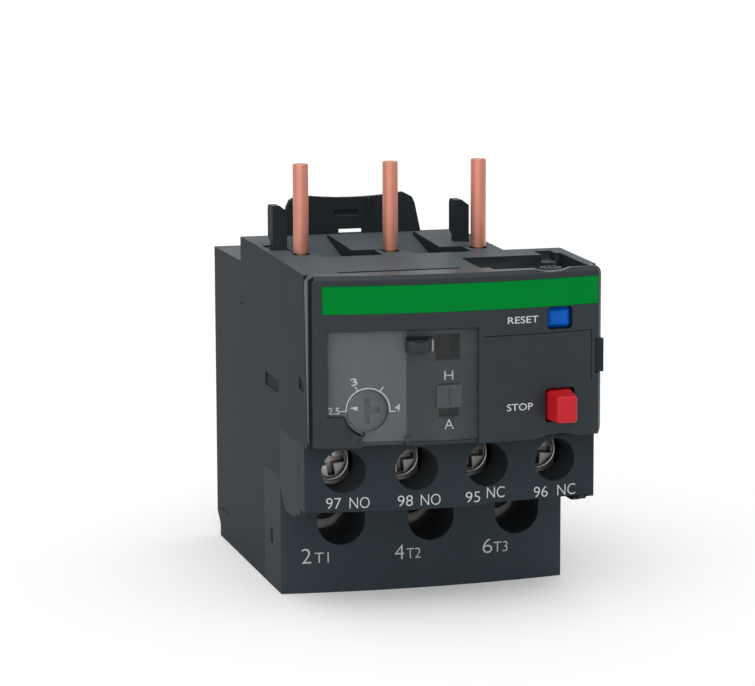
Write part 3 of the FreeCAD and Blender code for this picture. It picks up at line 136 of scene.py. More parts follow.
class RelaySurfaces(bpy.types.PropertyGroup):
    plastic_roughness: share("Plastic roughness", "Roughness of the dark plastic", 0.42)
    grain: length("Grain", "Size of the moulded grain", 0.16)
    relief: length("Relief", "Height of the moulded grain", 0.006)
    rounding: length("Rounding", "Radius to which moulded edges catch light", 0.22)
    print_height: length("Print height", "Thickness of printed marks", 0.04)
    line_width: length("Line width", "Width of the printed scale lines", 0.17)
    seam_width: length("Seam width", "Width of the seam in the cover", 0.14)


class RelayPins(bpy.types.PropertyGroup):
    tip: length("Tip", "Height of the pins' tips", 65.5)
    bevel: length("Tip bevel", "Bevel of the round tips", 0.16)
    shoulder: length("Shoulder", "Height at which the round pin starts", 51.9)
    neck: length("Neck radius", "Radius of the hidden neck", 0.75)


class RelayScrews(bpy.types.PropertyGroup):
    recess: length("Recess depth", "Depth of the driver recess", 1.4)
    slot: length("Slot width", "Width of the arms of the recess", 1.35)
    rim: length("Rim", "Width of the turned rim", 0.16)
    power_shank: length("Power shank", "Radius of the power screws' shanks", 1.9)
    aux_shank: length("Auxiliary shank", "Radius of the auxiliary screws' shanks", 1.6)
    power_head: length("Power head", "Thickness of the power screws' heads", 1.2)
    aux_head: length("Auxiliary head", "Thickness of the auxiliary screws' heads", 1.9)
    power_sink: length("Power sink", "How far the power screws' heads are sunk further", 1.4)
    aux_sink: length("Auxiliary sink", "How far the auxiliary screws' heads are sunk further", 0)
    power_pitch: length("Power pitch", "Distance between power screws", 14.1)
    aux_pitch: length("Auxiliary pitch", "Distance between auxiliary screws", 10.9)


class RelayButtons(bpy.types.PropertyGroup):
    reset_rounding: length("Reset rounding", "Rounding of the reset button's edges", 0.09)
    stop_rounding: length("Stop rounding", "Rounding of the stop button's edges", 0.14)
    face_width: share("Face width", "Width of the reset button's flat face", 0.82)
    face_height: share("Face height", "Height of the reset button's flat face", 0.86)
    face_right: length("Face right", "How far that face lies to the right", 0.18)
    face_down: length("Face down", "How far that face lies down", 0.04)
    travel: length("Travel", "How far the buttons go in", 1.8)


class RelayFlap(bpy.types.PropertyGroup):
    collar: length("Collar", "Thickness of the collar round the dial", 0.42)
    collar_width: length("Collar width", "Width of the collar round the dial", 0.5)
    dial_gap: length("Dial gap", "Gap between the dial and its collar", 0.03)
    cross_width: length("Cross width", "Half the width of the dial's driver cross", 0.36)
    cross_reach: length("Cross reach", "Length of an arm of the dial's driver cross", 1.85)
    cross_depth: length("Cross depth", "Depth of the dial's driver cross", 0.42)
    filling: length("Filling", "Thickness of the disc that fills the cross first", 0.5)
    plate_reach: length("Plate reach", "How much further right the plate goes", 0.57)
    lobe: length("Lobe", "Radius of the flap's round lobe in front of the dial", 3.5)
    notch_right: length("Notch right", "Right side of the notch in the flap", 7.85)
    notch_top: length("Notch top", "Upper side of the notch in the flap", 30.7)
    low_edge: length("Lower edge", "Height of the flap's lower edge beside its knuckle", 26.75)
    knuckle_right: length("Knuckle right", "Right end of the hinge's knuckle", 13.98)
    strip_low: length("Strip low", "Lower end of the strip that is copied to that edge", 28.2)
    strip_high: length("Strip high", "Upper end of the strip that is copied to that edge", 29.3)
    eye_left: length("Eye left", "Left end of the sealing eye", 13.85)
    eye_right: length("Eye right", "Right end of the sealing eye", 17.45)
    eye_low: length("Eye low", "Lower end of the sealing eye", 40.1)
    eye_high: length("Eye high", "Upper end of the sealing eye", 41.75)
    eye_reach: length("Eye reach", "How far the sealing eye stands proud", 1.5)
    eye_hole: length("Eye hole", "Radius of the hole for the sealing wire", 0.6)
    eye_corner: length("Eye corner", "Rounding of the eye's upright edges", 1.1)
    eye_root: length("Eye root", "How far the eye goes into the flap", 0.3)
    dip_radius: length("Dip radius", "Radius of the dip in the eye's upper side", 1.25)
    dip_depth: length("Dip depth", "Depth of that dip", 0.3)


class RelayTray(bpy.types.PropertyGroup):
    left: length("Left", "Left side of the tray behind the cover", 28.2)
    right: length("Right", "Inner face of the tray's right wall", 43.3)
    front: length("Front", "Depth to which the tray reaches into the cover", 63.3)
    middle: length("Middle", "Depth at which the cover's part of the tray starts", 58.5)
    back: length("Back", "Depth of the rear face at the tray's right end", 49.25)
    back_left: length("Back left", "Left side of the deeper part at the right end", 42.3)
    shelf_left: length("Shelf left", "Left side of the part between the cover and the rear face", 32.2)
    shelf_back: length("Shelf back", "Depth of the rear side of that part", 51.25)
    ledge: length("Ledge", "Height of the ledge in the cover", 49.95)
    notch_left: length("Notch left", "Left side of the notch in the rear rim", 39.8)
    notch_right: length("Notch right", "Right side of that notch", 42.5)
    notch_front: length("Notch front", "Depth of the front side of that notch", 52.25)
    notch_back: length("Notch back", "Depth of the rear side of that notch", 46.7)
    notch_floor: length("Notch floor", "Height of the floor of that notch", 50.2)
    boss_x: length("Boss place", "Middle of the boss from the left side", 38.5)
    boss_depth: length("Boss depth", "Middle of the boss from the rear", 58.9)
    boss_radius: length("Boss radius", "Radius of the boss", 1.62)
    boss_height: length("Boss height", "Height of the top of the boss", 50.7)
    boss_rim: length("Boss rim", "Width of the rim of the boss", 0.3)
    boss_dish: length("Boss dish", "Depth of the dish in the boss", 0.5)
    rib_pitch: length("Rib pitch", "Distance between the ribs in the dish", 0.8)
    rib_height: length("Rib height", "Height of the middle of these ribs", 50.35)
    floor: length("Floor", "Height of the tray's floor", 48.7)
    cover_corner: length("Cover corner", "Rounding of the cover's lower corners", 1.1)
    gap: length("Gap", "Width of the gap between the cover and the case", 0.5)
    gap_place: length("Gap place", "Depth of the gap's rear side", 63.05)
    gap_depth: length("Gap depth", "How far the gap goes in from the left side", 0.8)


class RelayStudio(bpy.types.PropertyGroup):
    camera_place: FloatVectorProperty(
        name="Camera place", description="Where the camera stands",
        default=(-0.1258, -0.4418, 0.1086), size=3, subtype="TRANSLATION", unit="LENGTH",
    )
    turn: FloatProperty(
        name="Turn", description="Camera's turn about the vertical",
        default=math.radians(-15.391), subtype="ANGLE", unit="ROTATION",
    )
    tilt: FloatProperty(
        name="Tilt", description="Camera's tilt up from straight down",
        default=math.radians(90 - 8.945), subtype="ANGLE", unit="ROTATION",
    )
    roll: FloatProperty(
        name="Roll", description="Camera's roll about its own line of sight",
        default=math.radians(-0.209), subtype="ANGLE", unit="ROTATION",
    )
    lens: FloatProperty(name="Lens", description="Focal length", default=141.71, unit="CAMERA")
    surroundings: FloatProperty(
        name="Surroundings", description="Strength of the even light all round", default=0.55, min=0
    )
    front_lamp: FloatProperty(
        name="Front lamp", description="Strength of the lamp from the front", default=0.8, min=0
    )
    side_lamp: FloatProperty(
        name="Side lamp", description="Strength of the lamp from the left", default=0.12, min=0
    )
    top_lamp: FloatProperty(
        name="Top lamp", description="Strength of the lamp from above", default=0.75, min=0
    )
    floor_tone: share("Floor", "Paleness of the floor", 0.9)


# ---- finishes -------------------------------------------------------------------------------


class Value:
    """A number that varies over a surface; an expression on it adds its Math nodes."""

    def __init__(self, finish, socket):
        self.finish = finish
        self.socket = socket

    def __add__(self, other):
        return self.finish.math("ADD", self, other)

    def __sub__(self, other):
        return self.finish.math("SUBTRACT", self, other)

    def __mul__(self, other):
        return self.finish.math("MULTIPLY", self, other)

    def __radd__(self, other):
        return self.finish.math("ADD", other, self)

    def __rsub__(self, other):
        return self.finish.math("SUBTRACT", other, self)

    def __rmul__(self, other):
        return self.finish.math("MULTIPLY", other, self)


class Step:
    """One node of a finish, whose outputs are read by name."""

    def __init__(self, finish, node):
        self.finish = finish
        self.node = node

    def __getitem__(self, name):
        return Value(self.finish, socket_named(self.node.outputs, name))


def socket_named(sockets, name):
    if isinstance(name, int):
        return sockets[name]
    for socket in sockets:
        if socket.identifier == name:
            return socket
    return sockets[name]


class Finish:
    """A procedural material or surroundings, built node by node."""

    def __init__(self, holder):
        self.holder = holder
        holder.use_nodes = True
        self.tree = holder.node_tree
        self.tree.nodes.clear()
        self.place = self.node("ShaderNodeTexCoord")["Object"]

    def node(self, kind, settings=(), sockets=()):
        made = self.tree.nodes.new(kind)
        for name, value in dict(settings).items():
            setattr(made, name, value)
        for name, value in dict(sockets).items():
            socket = socket_named(made.inputs, name)
            if isinstance(value, Value):
                self.tree.links.new(value.socket, socket)
            else:
                socket.default_value = value
        return Step(self, made)

    def math(self, operation, first, second):
        return self.node("ShaderNodeMath", {"operation": operation}, {0: first, 1: second})["Value"]

    def noise(self, size, detail=2.0, stretch=(1, 1, 1)):
        """Soft noise with features of the given size, drawn out along an axis by its stretch."""
        scale = [1 / (size * factor) for factor in stretch]
        place = self.node(
            "ShaderNodeMapping", {"vector_type": "POINT"}, {"Vector": self.place, "Scale": scale}
        )["Vector"]
        return self.node(
            "ShaderNodeTexNoise", {}, {"Vector": place, "Scale": 1.0, "Detail": detail}
        )["Fac"]

    def blend(self, amount, first, second):
        """A colour between two colours."""
        return self.node(
            "ShaderNodeMix", {"data_type": "RGBA", "clamp_factor": True},
            {"Factor_Float": amount, "A_Color": first, "B_Color": second},
        )["Result_Color"]

    def soft_edges(self, radius):
        return self.node("ShaderNodeBevel", {"samples": 4}, {"Radius": radius})["Normal"]

    def edges(self, rounded):
        """How far the rounded surface turns from the flat one: 0 on flats, more along edges."""
        flat = self.node("ShaderNodeNewGeometry")["True Normal"]
        along = self.node("ShaderNodeVectorMath", {"operation": "DOT_PRODUCT"}, {0: rounded, 1: flat})
        return 1 - along["Value"]

    def upward(self):
        """1 on faces that look up, 0 on upright faces and below."""
        facing = self.node("ShaderNodeNewGeometry")["True Normal"]
        up = self.node("ShaderNodeSeparateXYZ", {}, {"Vector": facing})["Z"]
        return self.math("MAXIMUM", up, 0.0) * up * up

    def sideward(self):
        """1 on faces that look to a side, 0 on those that look forward or up."""
        facing = self.node("ShaderNodeNewGeometry")["True Normal"]
        side = self.node("ShaderNodeSeparateXYZ", {}, {"Vector": facing})["X"]
        return side * side

    def relief(self, height, distance, normal=None):
        sockets = {"Strength": 1.0, "Distance": distance, "Height": height}
        if normal is not None:
            sockets["Normal"] = normal
        return self.node("ShaderNodeBump", {}, sockets)["Normal"]

    def surface(self, **sockets):
        """The shader; its sockets are named in small letters."""
        named = {name.replace("_", " ").title(): value for name, value in sockets.items()}
        named = {name.replace("Ior", "IOR"): value for name, value in named.items()}
        shader = self.node("ShaderNodeBsdfPrincipled", {}, named)["BSDF"]
        self.node("ShaderNodeOutputMaterial", {}, {"Surface": shader})
        return self.holder

    def seen(self):
        """1 for what the camera, a reflection or a clear piece shows, and 0 for what lights."""
        rays = self.node("ShaderNodeLightPath")
        mirrored = self.math("MAXIMUM", rays["Is Glossy Ray"], rays["Is Transmission Ray"])
        return self.math("MAXIMUM", rays["Is Camera Ray"], mirrored)


def shade(tone, factor):
    return (*(min(1, part * factor) for part in tone), 1)


def moulded(name, tone, roughness, looks, specular=0.3, painted_edge_highlight=1.5, painted_top_light=1.0, sides=1.0):
    """Moulded plastic: fine grain, faint flow clouds, edges that are a little smoother and lighter,
    the lighter colour a painted highlight.

    Faces that look up may be painted lighter by a factor, as painted top light; faces that look
    to a side may be painted darker, as painted side shade, to a share of the others' tone."""
    finish = Finish(bpy.data.materials.new(name))
    grain = finish.noise(looks.grain, 2)
    clouds = finish.noise(7 * MM, 3, (1, 1, 2.4))
    rounded = finish.soft_edges(looks.rounding)
    edge = finish.edges(rounded)
    body = finish.blend(clouds, shade(tone, 0.90), shade(tone, 1.10))
    body = finish.blend(grain * 0.16, body, shade(tone, 1.5))
    # Painted highlight: the colour is made lighter along edges, where the rounded surface turns.
    body = finish.blend(edge * 1.4, body, shade(tone, painted_edge_highlight))
    # Painted top light: faces that look up are made lighter, as light from above would make them.
    if painted_top_light > 1:
        body = finish.blend(finish.upward(), body, shade(tone, painted_top_light))
    # Painted side shade: faces that look to a side are made darker.
    if sides < 1:
        body = finish.blend(finish.sideward(), body, shade(tone, sides))
    return finish.surface(
        base_color=body,
        roughness=roughness - 0.05 + grain * 0.10 - edge * 0.25,
        specular_ior_level=specular,
        normal=finish.relief(grain, looks.relief, rounded),
    )


def printed(name, tone, roughness, specular=0.3):
    """Ink: slightly uneven in tone where it took on the grain below."""
    finish = Finish(bpy.data.materials.new(name))
    speckle = finish.noise(0.12 * MM, 2)
    clouds = finish.noise(3 * MM, 2)
    ink = finish.blend(speckle * 0.5 + clouds * 0.3, shade(tone, 0.88), shade(tone, 1.10))
    return finish.surface(
        base_color=ink,
        roughness=roughness + speckle * 0.1,
        specular_ior_level=specular,
        normal=finish.relief(speckle, 0.003 * MM),
    )


def drawn_metal(name, tone, roughness, along, size=0.08, tarnish=0.75, painted_recess_shade=0.0):
    """Metal with lines along the way it was drawn or rolled, faint tarnish and painted shade in
    recesses.
    """
    finish = Finish(bpy.data.materials.new(name))
    lines = finish.noise(size * MM, 2, along)
    clouds = finish.noise(2.4 * MM, 3)
    rounded = finish.soft_edges(0.1 * MM)
    body = finish.blend(clouds * 0.8, shade(tone, 1.06), shade(tone, tarnish))
    body = finish.blend(lines * 0.35, body, shade(tone, 0.82))
    # Painted shade: the colour darkens where ambient occlusion finds the surface hemmed in.
    if painted_recess_shade:
        open_air = finish.node(
            "ShaderNodeAmbientOcclusion", {"samples": 8}, {"Distance": 1.2 * MM}
        )["AO"]
        body = finish.blend((1 - open_air) * painted_recess_shade, body, shade(tone, 0.12))
    return finish.surface(
        base_color=body,
        metallic=1.0,
        roughness=roughness - 0.06 + lines * 0.12 + clouds * 0.06,
        normal=finish.relief(lines, 0.002 * MM, rounded),
    )


def clear_sheet(name, tone, cover):
    """Clear tinted plastic with a faint haze."""
    finish = Finish(bpy.data.materials.new(name))
    haze = finish.noise(4 * MM, 2)
    return finish.surface(
        base_color=finish.blend(haze, shade(tone, 0.94), shade(tone, 1.06)),
        roughness=0.14 + haze * 0.08,
        specular_ior_level=0.3,
        alpha=cover * 0.7 + haze * (cover * 0.6),
        normal=finish.relief(haze, 0.004 * MM),
    )


def make_finishes(colours, looks):
    """Every finish of the relay by name."""
    rough = looks.plastic_roughness
    upright, across, deep = (1, 1, 30), (30, 1, 1), (1, 30, 1)
    return {
        # The case has a painted highlight on its edges and painted top light: its upward faces are 3.7
        # times lighter.
        "case": moulded("case_plastic", colours.case, rough, looks, 0.01, 1.8, 3.7),
        # Both terminal blocks have painted side shade. The lower one's finish is the block tone painted
        # 1.42 times lighter, as painted light where the block above shades it.
        "block": moulded("block_plastic", colours.block, rough + 0.04, looks, 0.03, sides=0.74),
        "foot": moulded(
            "foot_plastic", shade(colours.block, 1.42)[:3], rough + 0.04, looks, 0.03, sides=0.54
        ),
        "cover": moulded("cover_plastic", colours.cover, rough, looks, 0.25),
        "scale": moulded("plate_plastic", colours.scale, 0.55, looks, 0.2, 1.1),
        "dial": moulded("knob_plastic", shade(colours.scale, 0.95)[:3], 0.5, looks, 0.3),
        "selector": moulded("selector_plastic", shade(colours.scale, 0.55)[:3], 0.5, looks, 0.2),
        "flag": moulded("flag_moulding", colours.flag, 0.6, looks, 0.1, 1.0),
        "reset": moulded("reset_plastic", colours.reset, 0.34, looks, 0.15, 1.25),
        "stop": moulded("stop_plastic", colours.stop, 0.36, looks, 0.25, 1.15),
        "inner": moulded("mechanism_plastic", (0.55, 0.52, 0.45), 0.5, looks, 0.4, 1.1),
        "seam": moulded("seam_shadow", (0.008, 0.009, 0.010), 0.7, looks, 0.1, 1.0),
        "band": printed("band_ink", colours.band, 0.5, 0.03),
        "marks": printed("mark_ink", colours.marks, 0.6),
        "flap": clear_sheet("tinted_sheet", colours.flap, colours.flap_cover),
        "copper": drawn_metal("drawn_copper", colours.copper, 0.40, upright, 0.1, 0.88),
        "alloy": drawn_metal("rolled_alloy", (0.35, 0.33, 0.32), 0.45, across),
        "strip": drawn_metal("bimetal_strip", (0.50, 0.48, 0.45), 0.38, upright),
        "brass": drawn_metal("stamped_brass", (0.70, 0.50, 0.22), 0.36, deep),
        # Both steels get painted shade in their recesses.
        "steel": drawn_metal("plated_steel", colours.steel, 0.34, across, 0.12, 0.85, 1.25),
        # The power screws' steel is the plated steel painted 0.16 as light, as painted shade for heads
        # that sit deep in their wells.
        "sunk": drawn_metal("sunk_steel", shade(colours.steel, 0.16)[:3], 0.4, across, 0.12, 0.7, 1.6),
        "spring": drawn_metal("spring_wire", (0.55, 0.55, 0.56), 0.32, deep),
    }


NODE_FINISHES = {
    "case": ("housing", "rear_cover"),
    "block": ("auxiliary_block",),
    # The terminal block takes the copy of the block tone that is painted lighter.
    "foot": ("terminal_block",),
    "cover": ("front_cover",),
    "band": ("marking_band",),
    "scale": ("scale_plate",),
    "flap": ("window_flap",),
    "dial": ("setting_dial",),
    "selector": ("reset_selector",),
    "flag": ("trip_indicator",),
    "reset": ("reset_button",),
    "stop": ("stop_button",),
    "copper": ("line_pin_1", "line_pin_2", "line_pin_3"),
    "alloy": ("heater_1", "heater_2", "heater_3"),
    "strip": ("bimetal_1", "bimetal_2", "bimetal_3", "compensating_strip"),
    "brass": (
        "load_terminal_1", "load_terminal_2", "load_terminal_3", "no_bridge", "nc_bridge",
    ),
    "steel": (
        "terminal_clamp_1", "terminal_clamp_2", "terminal_clamp_3", "power_screws", "aux_screws",
        "aux_clamps", "trip_pivot", "aux_plate_95", "aux_plate_96", "aux_plate_97", "aux_plate_98",
    ),
    "spring": ("reset_spring", "stop_spring", "toggle_spring"),
    "inner": (
        "pusher_slide", "differential_slide", "differential_lever", "trip_lever",
        "contact_carrier", "mechanism_plate",
    ),
}

# ---- modelling ------------------------------------------------------------------------------


def focus(*pieces):
    """Selects these pieces alone; the first one is active."""
    if bpy.context.mode != "OBJECT":
        bpy.ops.object.mode_set(mode="OBJECT")
    bpy.ops.object.select_all(action="DESELECT")
    for piece in pieces:
        piece.select_set(True)
    if pieces:
        bpy.context.view_layer.objects.active = pieces[0]


def named(name):
    piece = bpy.context.object
    piece.name = name
    piece.data.name = name
    return piece


def pick(piece, kind, test):
    """Selects in edit mode those faces, edges or corners that pass the test."""
    if bpy.context.mode != "EDIT_MESH":
        focus(piece)
        bpy.ops.object.mode_set(mode="EDIT")
    bpy.ops.mesh.select_mode(type=kind)
    bpy.ops.mesh.select_all(action="DESELECT")
    mesh = bmesh.from_edit_mesh(piece.data)
    items = {"FACE": mesh.faces, "EDGE": mesh.edges, "VERT": mesh.verts}[kind]
    found = [item for item in items if test(item)]
    if not found:
        raise RuntimeError(f"{piece.name}: nothing to pick")
    for item in found:
        item.select_set(True)
    mesh.select_flush_mode()
    bmesh.update_edit_mesh(piece.data)


def settle(piece):
    focus(piece)
    bpy.ops.object.transform_apply(location=True, rotation=True, scale=True)


def modify(piece, kind, **settings):
    focus(piece)
    modifier = piece.modifiers.new(kind, kind)
    for name, value in settings.items():
        setattr(modifier, name, value)
    bpy.ops.object.modifier_apply(modifier=modifier.name)


def joined(name, pieces):
    focus(*pieces)
    if len(pieces) > 1:
        bpy.ops.object.join()
    return named(name)


def copied(piece):
    focus(piece)
    bpy.ops.object.duplicate()
    return bpy.context.object


def node_copy(node, name, flat=True):
    """A copy of a node's mesh with its corners joined; its flat faces may be made whole too."""
    focus(frame["nodes"][node])
    bpy.ops.object.duplicate()
    piece = named(name)
    piece.parent = None
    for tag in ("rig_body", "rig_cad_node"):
        del piece[tag]
    pick(piece, "VERT", lambda corner: True)
    bpy.ops.mesh.remove_doubles(threshold=0.001 * MM)
    if flat:
        bpy.ops.mesh.dissolve_limited(angle_limit=math.radians(0.5))
    focus(piece)
    return piece


def cut(piece, operation, tool, keep_tool=False):
    """Adds, cuts or keeps with another shape, which is then thrown away."""
    modify(piece, "BOOLEAN", operation=operation, object=tool, solver="EXACT")
    if not keep_tool:
        focus(tool)
        bpy.ops.object.delete()


def block(low, high):
    """A plain block between two corners, as a cutting tool."""
    focus()
    bpy.ops.mesh.primitive_cube_add(size=1, location=(Vector(low) + Vector(high)) / 2)
    tool = bpy.context.object
    tool.scale = Vector(high) - Vector(low)
    settle(tool)
    return tool


def disc(middle, radius, thickness, turn=0):
    """A round blank that faces the front, turned about the vertical."""
    focus()
    bpy.ops.mesh.primitive_cylinder_add(
        vertices=96, radius=radius, depth=thickness, location=middle,
        rotation=(math.radians(90), 0, turn),
    )
    tool = bpy.context.object
    settle(tool)
    return tool


def pillar(middle, radius, height):
    """A round upright blank."""
    focus()
    bpy.ops.mesh.primitive_cylinder_add(vertices=64, radius=radius, depth=height, location=middle)
    tool = bpy.context.object
    settle(tool)
    return tool


def upright(edge):
    return (edge.verts[0].co - edge.verts[1].co).to_2d().length < 1e-6


def front_at_back(piece, x, z):
    """Where a line from the back first meets a piece."""
    start = Vector((x, CAD_BOX[1].y + 5 * MM, z))
    met, place, _, _ = piece.ray_cast(start, Vector((0, -1, 0)))
    if not met:
        raise RuntimeError(f"nothing of {piece.name} at {x}, {z}")
    return place.y


def front_at(piece, x, z):
    """Where a line towards the back first meets a piece."""
    start = Vector((x, CAD_BOX[0].y - 5 * MM, z))
    met, place, _, _ = piece.ray_cast(start, Vector((0, 1, 0)))
    if not met:
        raise RuntimeError(f"nothing of {piece.name} at {x}, {z}")
    return place.y


def hand_over(piece, body, finish, replaced=(), broad=False):
    """Gives a finished piece its place in its mesh, its finish and the body it rides on.

    A broad piece has large flat faces beside small roundings, and its flats are kept even."""
    settle(piece)
    if broad:
        pick(piece, "VERT", lambda corner: True)
        bpy.ops.mesh.dissolve_limited(angle_limit=math.radians(0.2))
        focus(piece)
    bpy.ops.object.shade_smooth_by_angle(angle=math.radians(12 if broad else 32))
    if broad:
        modify(piece, "WEIGHTED_NORMAL", mode="FACE_AREA", weight=90, keep_sharp=True)
    piece.data.materials.clear()
    piece.data.materials.append(bpy.data.materials[finish])
    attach(piece, body)
    if replaced:
        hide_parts(*replaced)


# Drawings are flat, in millimetres, with the left side and the bottom of the relay as zero.


def fit_drawing(piece, left, low, width, height):
    """Scales and moves a flat drawing into a place."""
    corners = [corner.co for corner in piece.data.vertices]
    start_x, start_y = min(c.x for c in corners), min(c.y for c in corners)
    across = width * MM / (max(c.x for c in corners) - start_x)
    up = height * MM / (max(c.y for c in corners) - start_y)
    piece.scale = (across, up, 1)
    piece.location = (left * MM - start_x * across, low * MM - start_y * up, 0)
    settle(piece)


def word(text, left, low, width, height, tilt=0, weight=-0.011):
    """A printed word, fitted between its left edge and its foot."""
    focus()
    bpy.ops.object.text_add()
    letters = bpy.context.object
    letters.data.body = text
    letters.data.resolution_u = 5
    letters.data.offset = weight
    bpy.ops.object.convert(target="MESH")
    piece = bpy.context.object
    pick(piece, "FACE", lambda face: True)
    bpy.ops.mesh.remove_doubles(threshold=0.0002)
    fit_drawing(piece, left, low, width, height)
    if tilt:
        turn_drawing(piece, left + width / 2, low + height / 2, tilt)
    return piece


def turn_drawing(piece, mid_x, mid_z, degrees):
    focus(piece)
    centre = Matrix.Translation((mid_x * MM, mid_z * MM, 0))
    turn = Matrix.Rotation(math.radians(degrees), 4, "Z")
    piece.matrix_world = centre @ turn @ centre.inverted()
    settle(piece)


def stroke(start, end, width):
    """A straight printed line between two points, cut often enough to follow a bowed face."""
    run = Vector(end) - Vector(start)
    mid = (Vector(start) + Vector(end)) / 2
    focus()
    bpy.ops.mesh.primitive_plane_add(
        size=MM, location=(mid.x * MM, mid.y * MM, 0), rotation=(0, 0, math.atan2(run.y, run.x))
    )
    piece = bpy.context.object
    piece.scale = (run.length, width / MM, 1)
    settle(piece)
    cuts = int(run.length)
    if cuts:
        along = run.normalized()
        pick(piece, "EDGE", lambda edge: abs(lie(edge).dot(along)) > 0.9)
        bpy.ops.mesh.subdivide(number_cuts=cuts)
    return piece


def lie(edge):
    """The direction of an edge in a flat drawing."""
    first, last = edge.verts
    return (last.co - first.co).to_2d().normalized()


def arc(mid_x, mid_z, radius, width, low_angle, high_angle, steps=48):
    """A printed arc: a short line spun about its centre."""
    focus()
    bpy.ops.mesh.primitive_plane_add(size=MM)
    piece = bpy.context.object
    angle = math.radians(low_angle)
    pick(piece, "VERT", lambda corner: corner.co.y > 0)
    bpy.ops.mesh.delete(type="VERT")
    pick(piece, "VERT", lambda corner: True)
    bpy.ops.transform.resize(value=(width / MM, 1, 1))
    bpy.ops.transform.translate(value=(radius * MM, 0.5 * MM, 0))
    bpy.ops.mesh.spin(
        steps=steps, angle=math.radians(low_angle - high_angle), center=(0, 0, 0), axis=(0, 0, 1)
    )
    pick(piece, "FACE", lambda face: True)
    bpy.ops.mesh.normals_make_consistent(inside=False)
    focus(piece)
    piece.rotation_euler = (0, 0, angle)
    piece.location = (mid_x * MM, mid_z * MM, 0)
    settle(piece)
    return piece


def flat_triangle(points):
    """A printed triangle with the given corners, as for a pointer."""
    focus()
    bpy.ops.mesh.primitive_circle_add(vertices=3, radius=MM, fill_type="NGON")
    piece = bpy.context.object
    bpy.ops.object.mode_set(mode="EDIT")
    mesh = bmesh.from_edit_mesh(piece.data)
    for corner, point in zip(mesh.verts, points):
        corner.co = (point[0] * MM, point[1] * MM, 0)
    mesh.normal_update()
    if sum(face.normal.z for face in mesh.faces) < 0:
        bmesh.ops.reverse_faces(mesh, faces=mesh.faces)
    bmesh.update_edit_mesh(piece.data)
    focus(piece)
    return piece


def print_on(name, drawings, carrier, body, finish, height):
    """Lays drawings on the front of a moulded piece and gives them their thickness."""
    piece = joined(name, drawings)
    piece.rotation_euler = TO_FRONT
    ahead = CAD_BOX[0].y - 5 * MM
    piece.location = (LEFT_SIDE, ahead, 0)
    settle(piece)
    modify(
        piece, "SHRINKWRAP", wrap_method="PROJECT", use_project_y=True,
        use_positive_direction=True, use_negative_direction=False, target=carrier,
    )
    if min(corner.co.y for corner in piece.data.vertices) < ahead + 1e-5:
        raise RuntimeError(f"{name} doesn't lie on {carrier.name}")
    modify(piece, "SOLIDIFY", thickness=height, offset=0)
    hand_over(piece, body, finish)


# Degrees by which the first screw's recess is turned, and each next screw more than the last.
RECESS_TURN = -8
SCREW_TURN = 4


def driver_recess(radius, depth, slot, front):
    """The tool that cuts a cross recess: two crossed bars whose inner ends narrow."""
    bars = []
    for angle in (0, 90):
        focus()
        bpy.ops.mesh.primitive_cube_add(size=1, location=(0, 0, 0))
        bar = bpy.context.object
        bar.scale = (radius * 1.76, 2 * depth, slot)
        settle(bar)
        pick(bar, "FACE", lambda face: face.normal.y > 0.9)
        bpy.ops.transform.resize(value=(0.8, 1, 0.62))
        focus(bar)
        bar.rotation_euler = (0, math.radians(angle + RECESS_TURN), 0)
        settle(bar)
        bars.append(bar)
    cut(bars[0], "UNION", bars[1])
    bars[0].location = (0, front, 0)
    settle(bars[0])
    return bars[0]


def screw(radius, head, front, back, shank, settings, turn):
    """One terminal screw that faces the front, with its axis on the Y axis."""
    focus()
    bpy.ops.mesh.primitive_cylinder_add(
        vertices=56, radius=radius, depth=head, location=(0, front + head / 2, 0), rotation=TO_FRONT
    )
    piece = bpy.context.object
    settle(piece)
    outer = front + 1e-6
    pick(piece, "FACE", lambda face: face.normal.y < -0.9)
    bpy.ops.mesh.inset(thickness=settings.rim)
    bpy.ops.transform.translate(value=(0, 0.10 * MM, 0))
    bpy.ops.mesh.inset(thickness=0.12 * MM)
    bpy.ops.transform.translate(value=(0, -0.06 * MM, 0))
    pick(
        piece, "EDGE",
        lambda edge: all(
            corner.co.y < outer and math.hypot(corner.co.x, corner.co.z) > radius * 0.99
            for corner in edge.verts
        ),
    )
    bpy.ops.mesh.bevel(offset=0.14 * MM, segments=3, affect="EDGES")
    pick(piece, "FACE", lambda face: face.normal.y > 0.9)
    bpy.ops.mesh.inset(thickness=radius - shank)
    reach = back - front - head
    bpy.ops.mesh.extrude_region_move(TRANSFORM_OT_translate={"value": (0, reach * 0.9, 0)})
    bpy.ops.mesh.extrude_region_move(TRANSFORM_OT_translate={"value": (0, reach * 0.1, 0)})
    bpy.ops.transform.resize(value=(0.7, 1, 0.7))
    cut(piece, "DIFFERENCE", driver_recess(radius, settings.recess, settings.slot, front))
    piece.rotation_euler = (0, math.radians(turn), 0)
    settle(piece)
    return piece


# ---- the relay's pieces ---------------------------------------------------------------------


class RELAY_OT_finishes(bpy.types.Operator):
    """Makes the finishes and puts them on the moulded and metal pieces"""

    bl_idname = "relay.finishes"
    bl_label = "Finishes"

    def execute(self, context):
        scene = context.scene
        finishes = make_finishes(scene.relay_colours, scene.relay_surfaces)
        for name, nodes in NODE_FINISHES.items():
            for node in nodes:
                piece = frame["nodes"][node]
                piece.data.materials.clear()
                piece.data.materials.append(finishes[name])
        return {"FINISHED"}


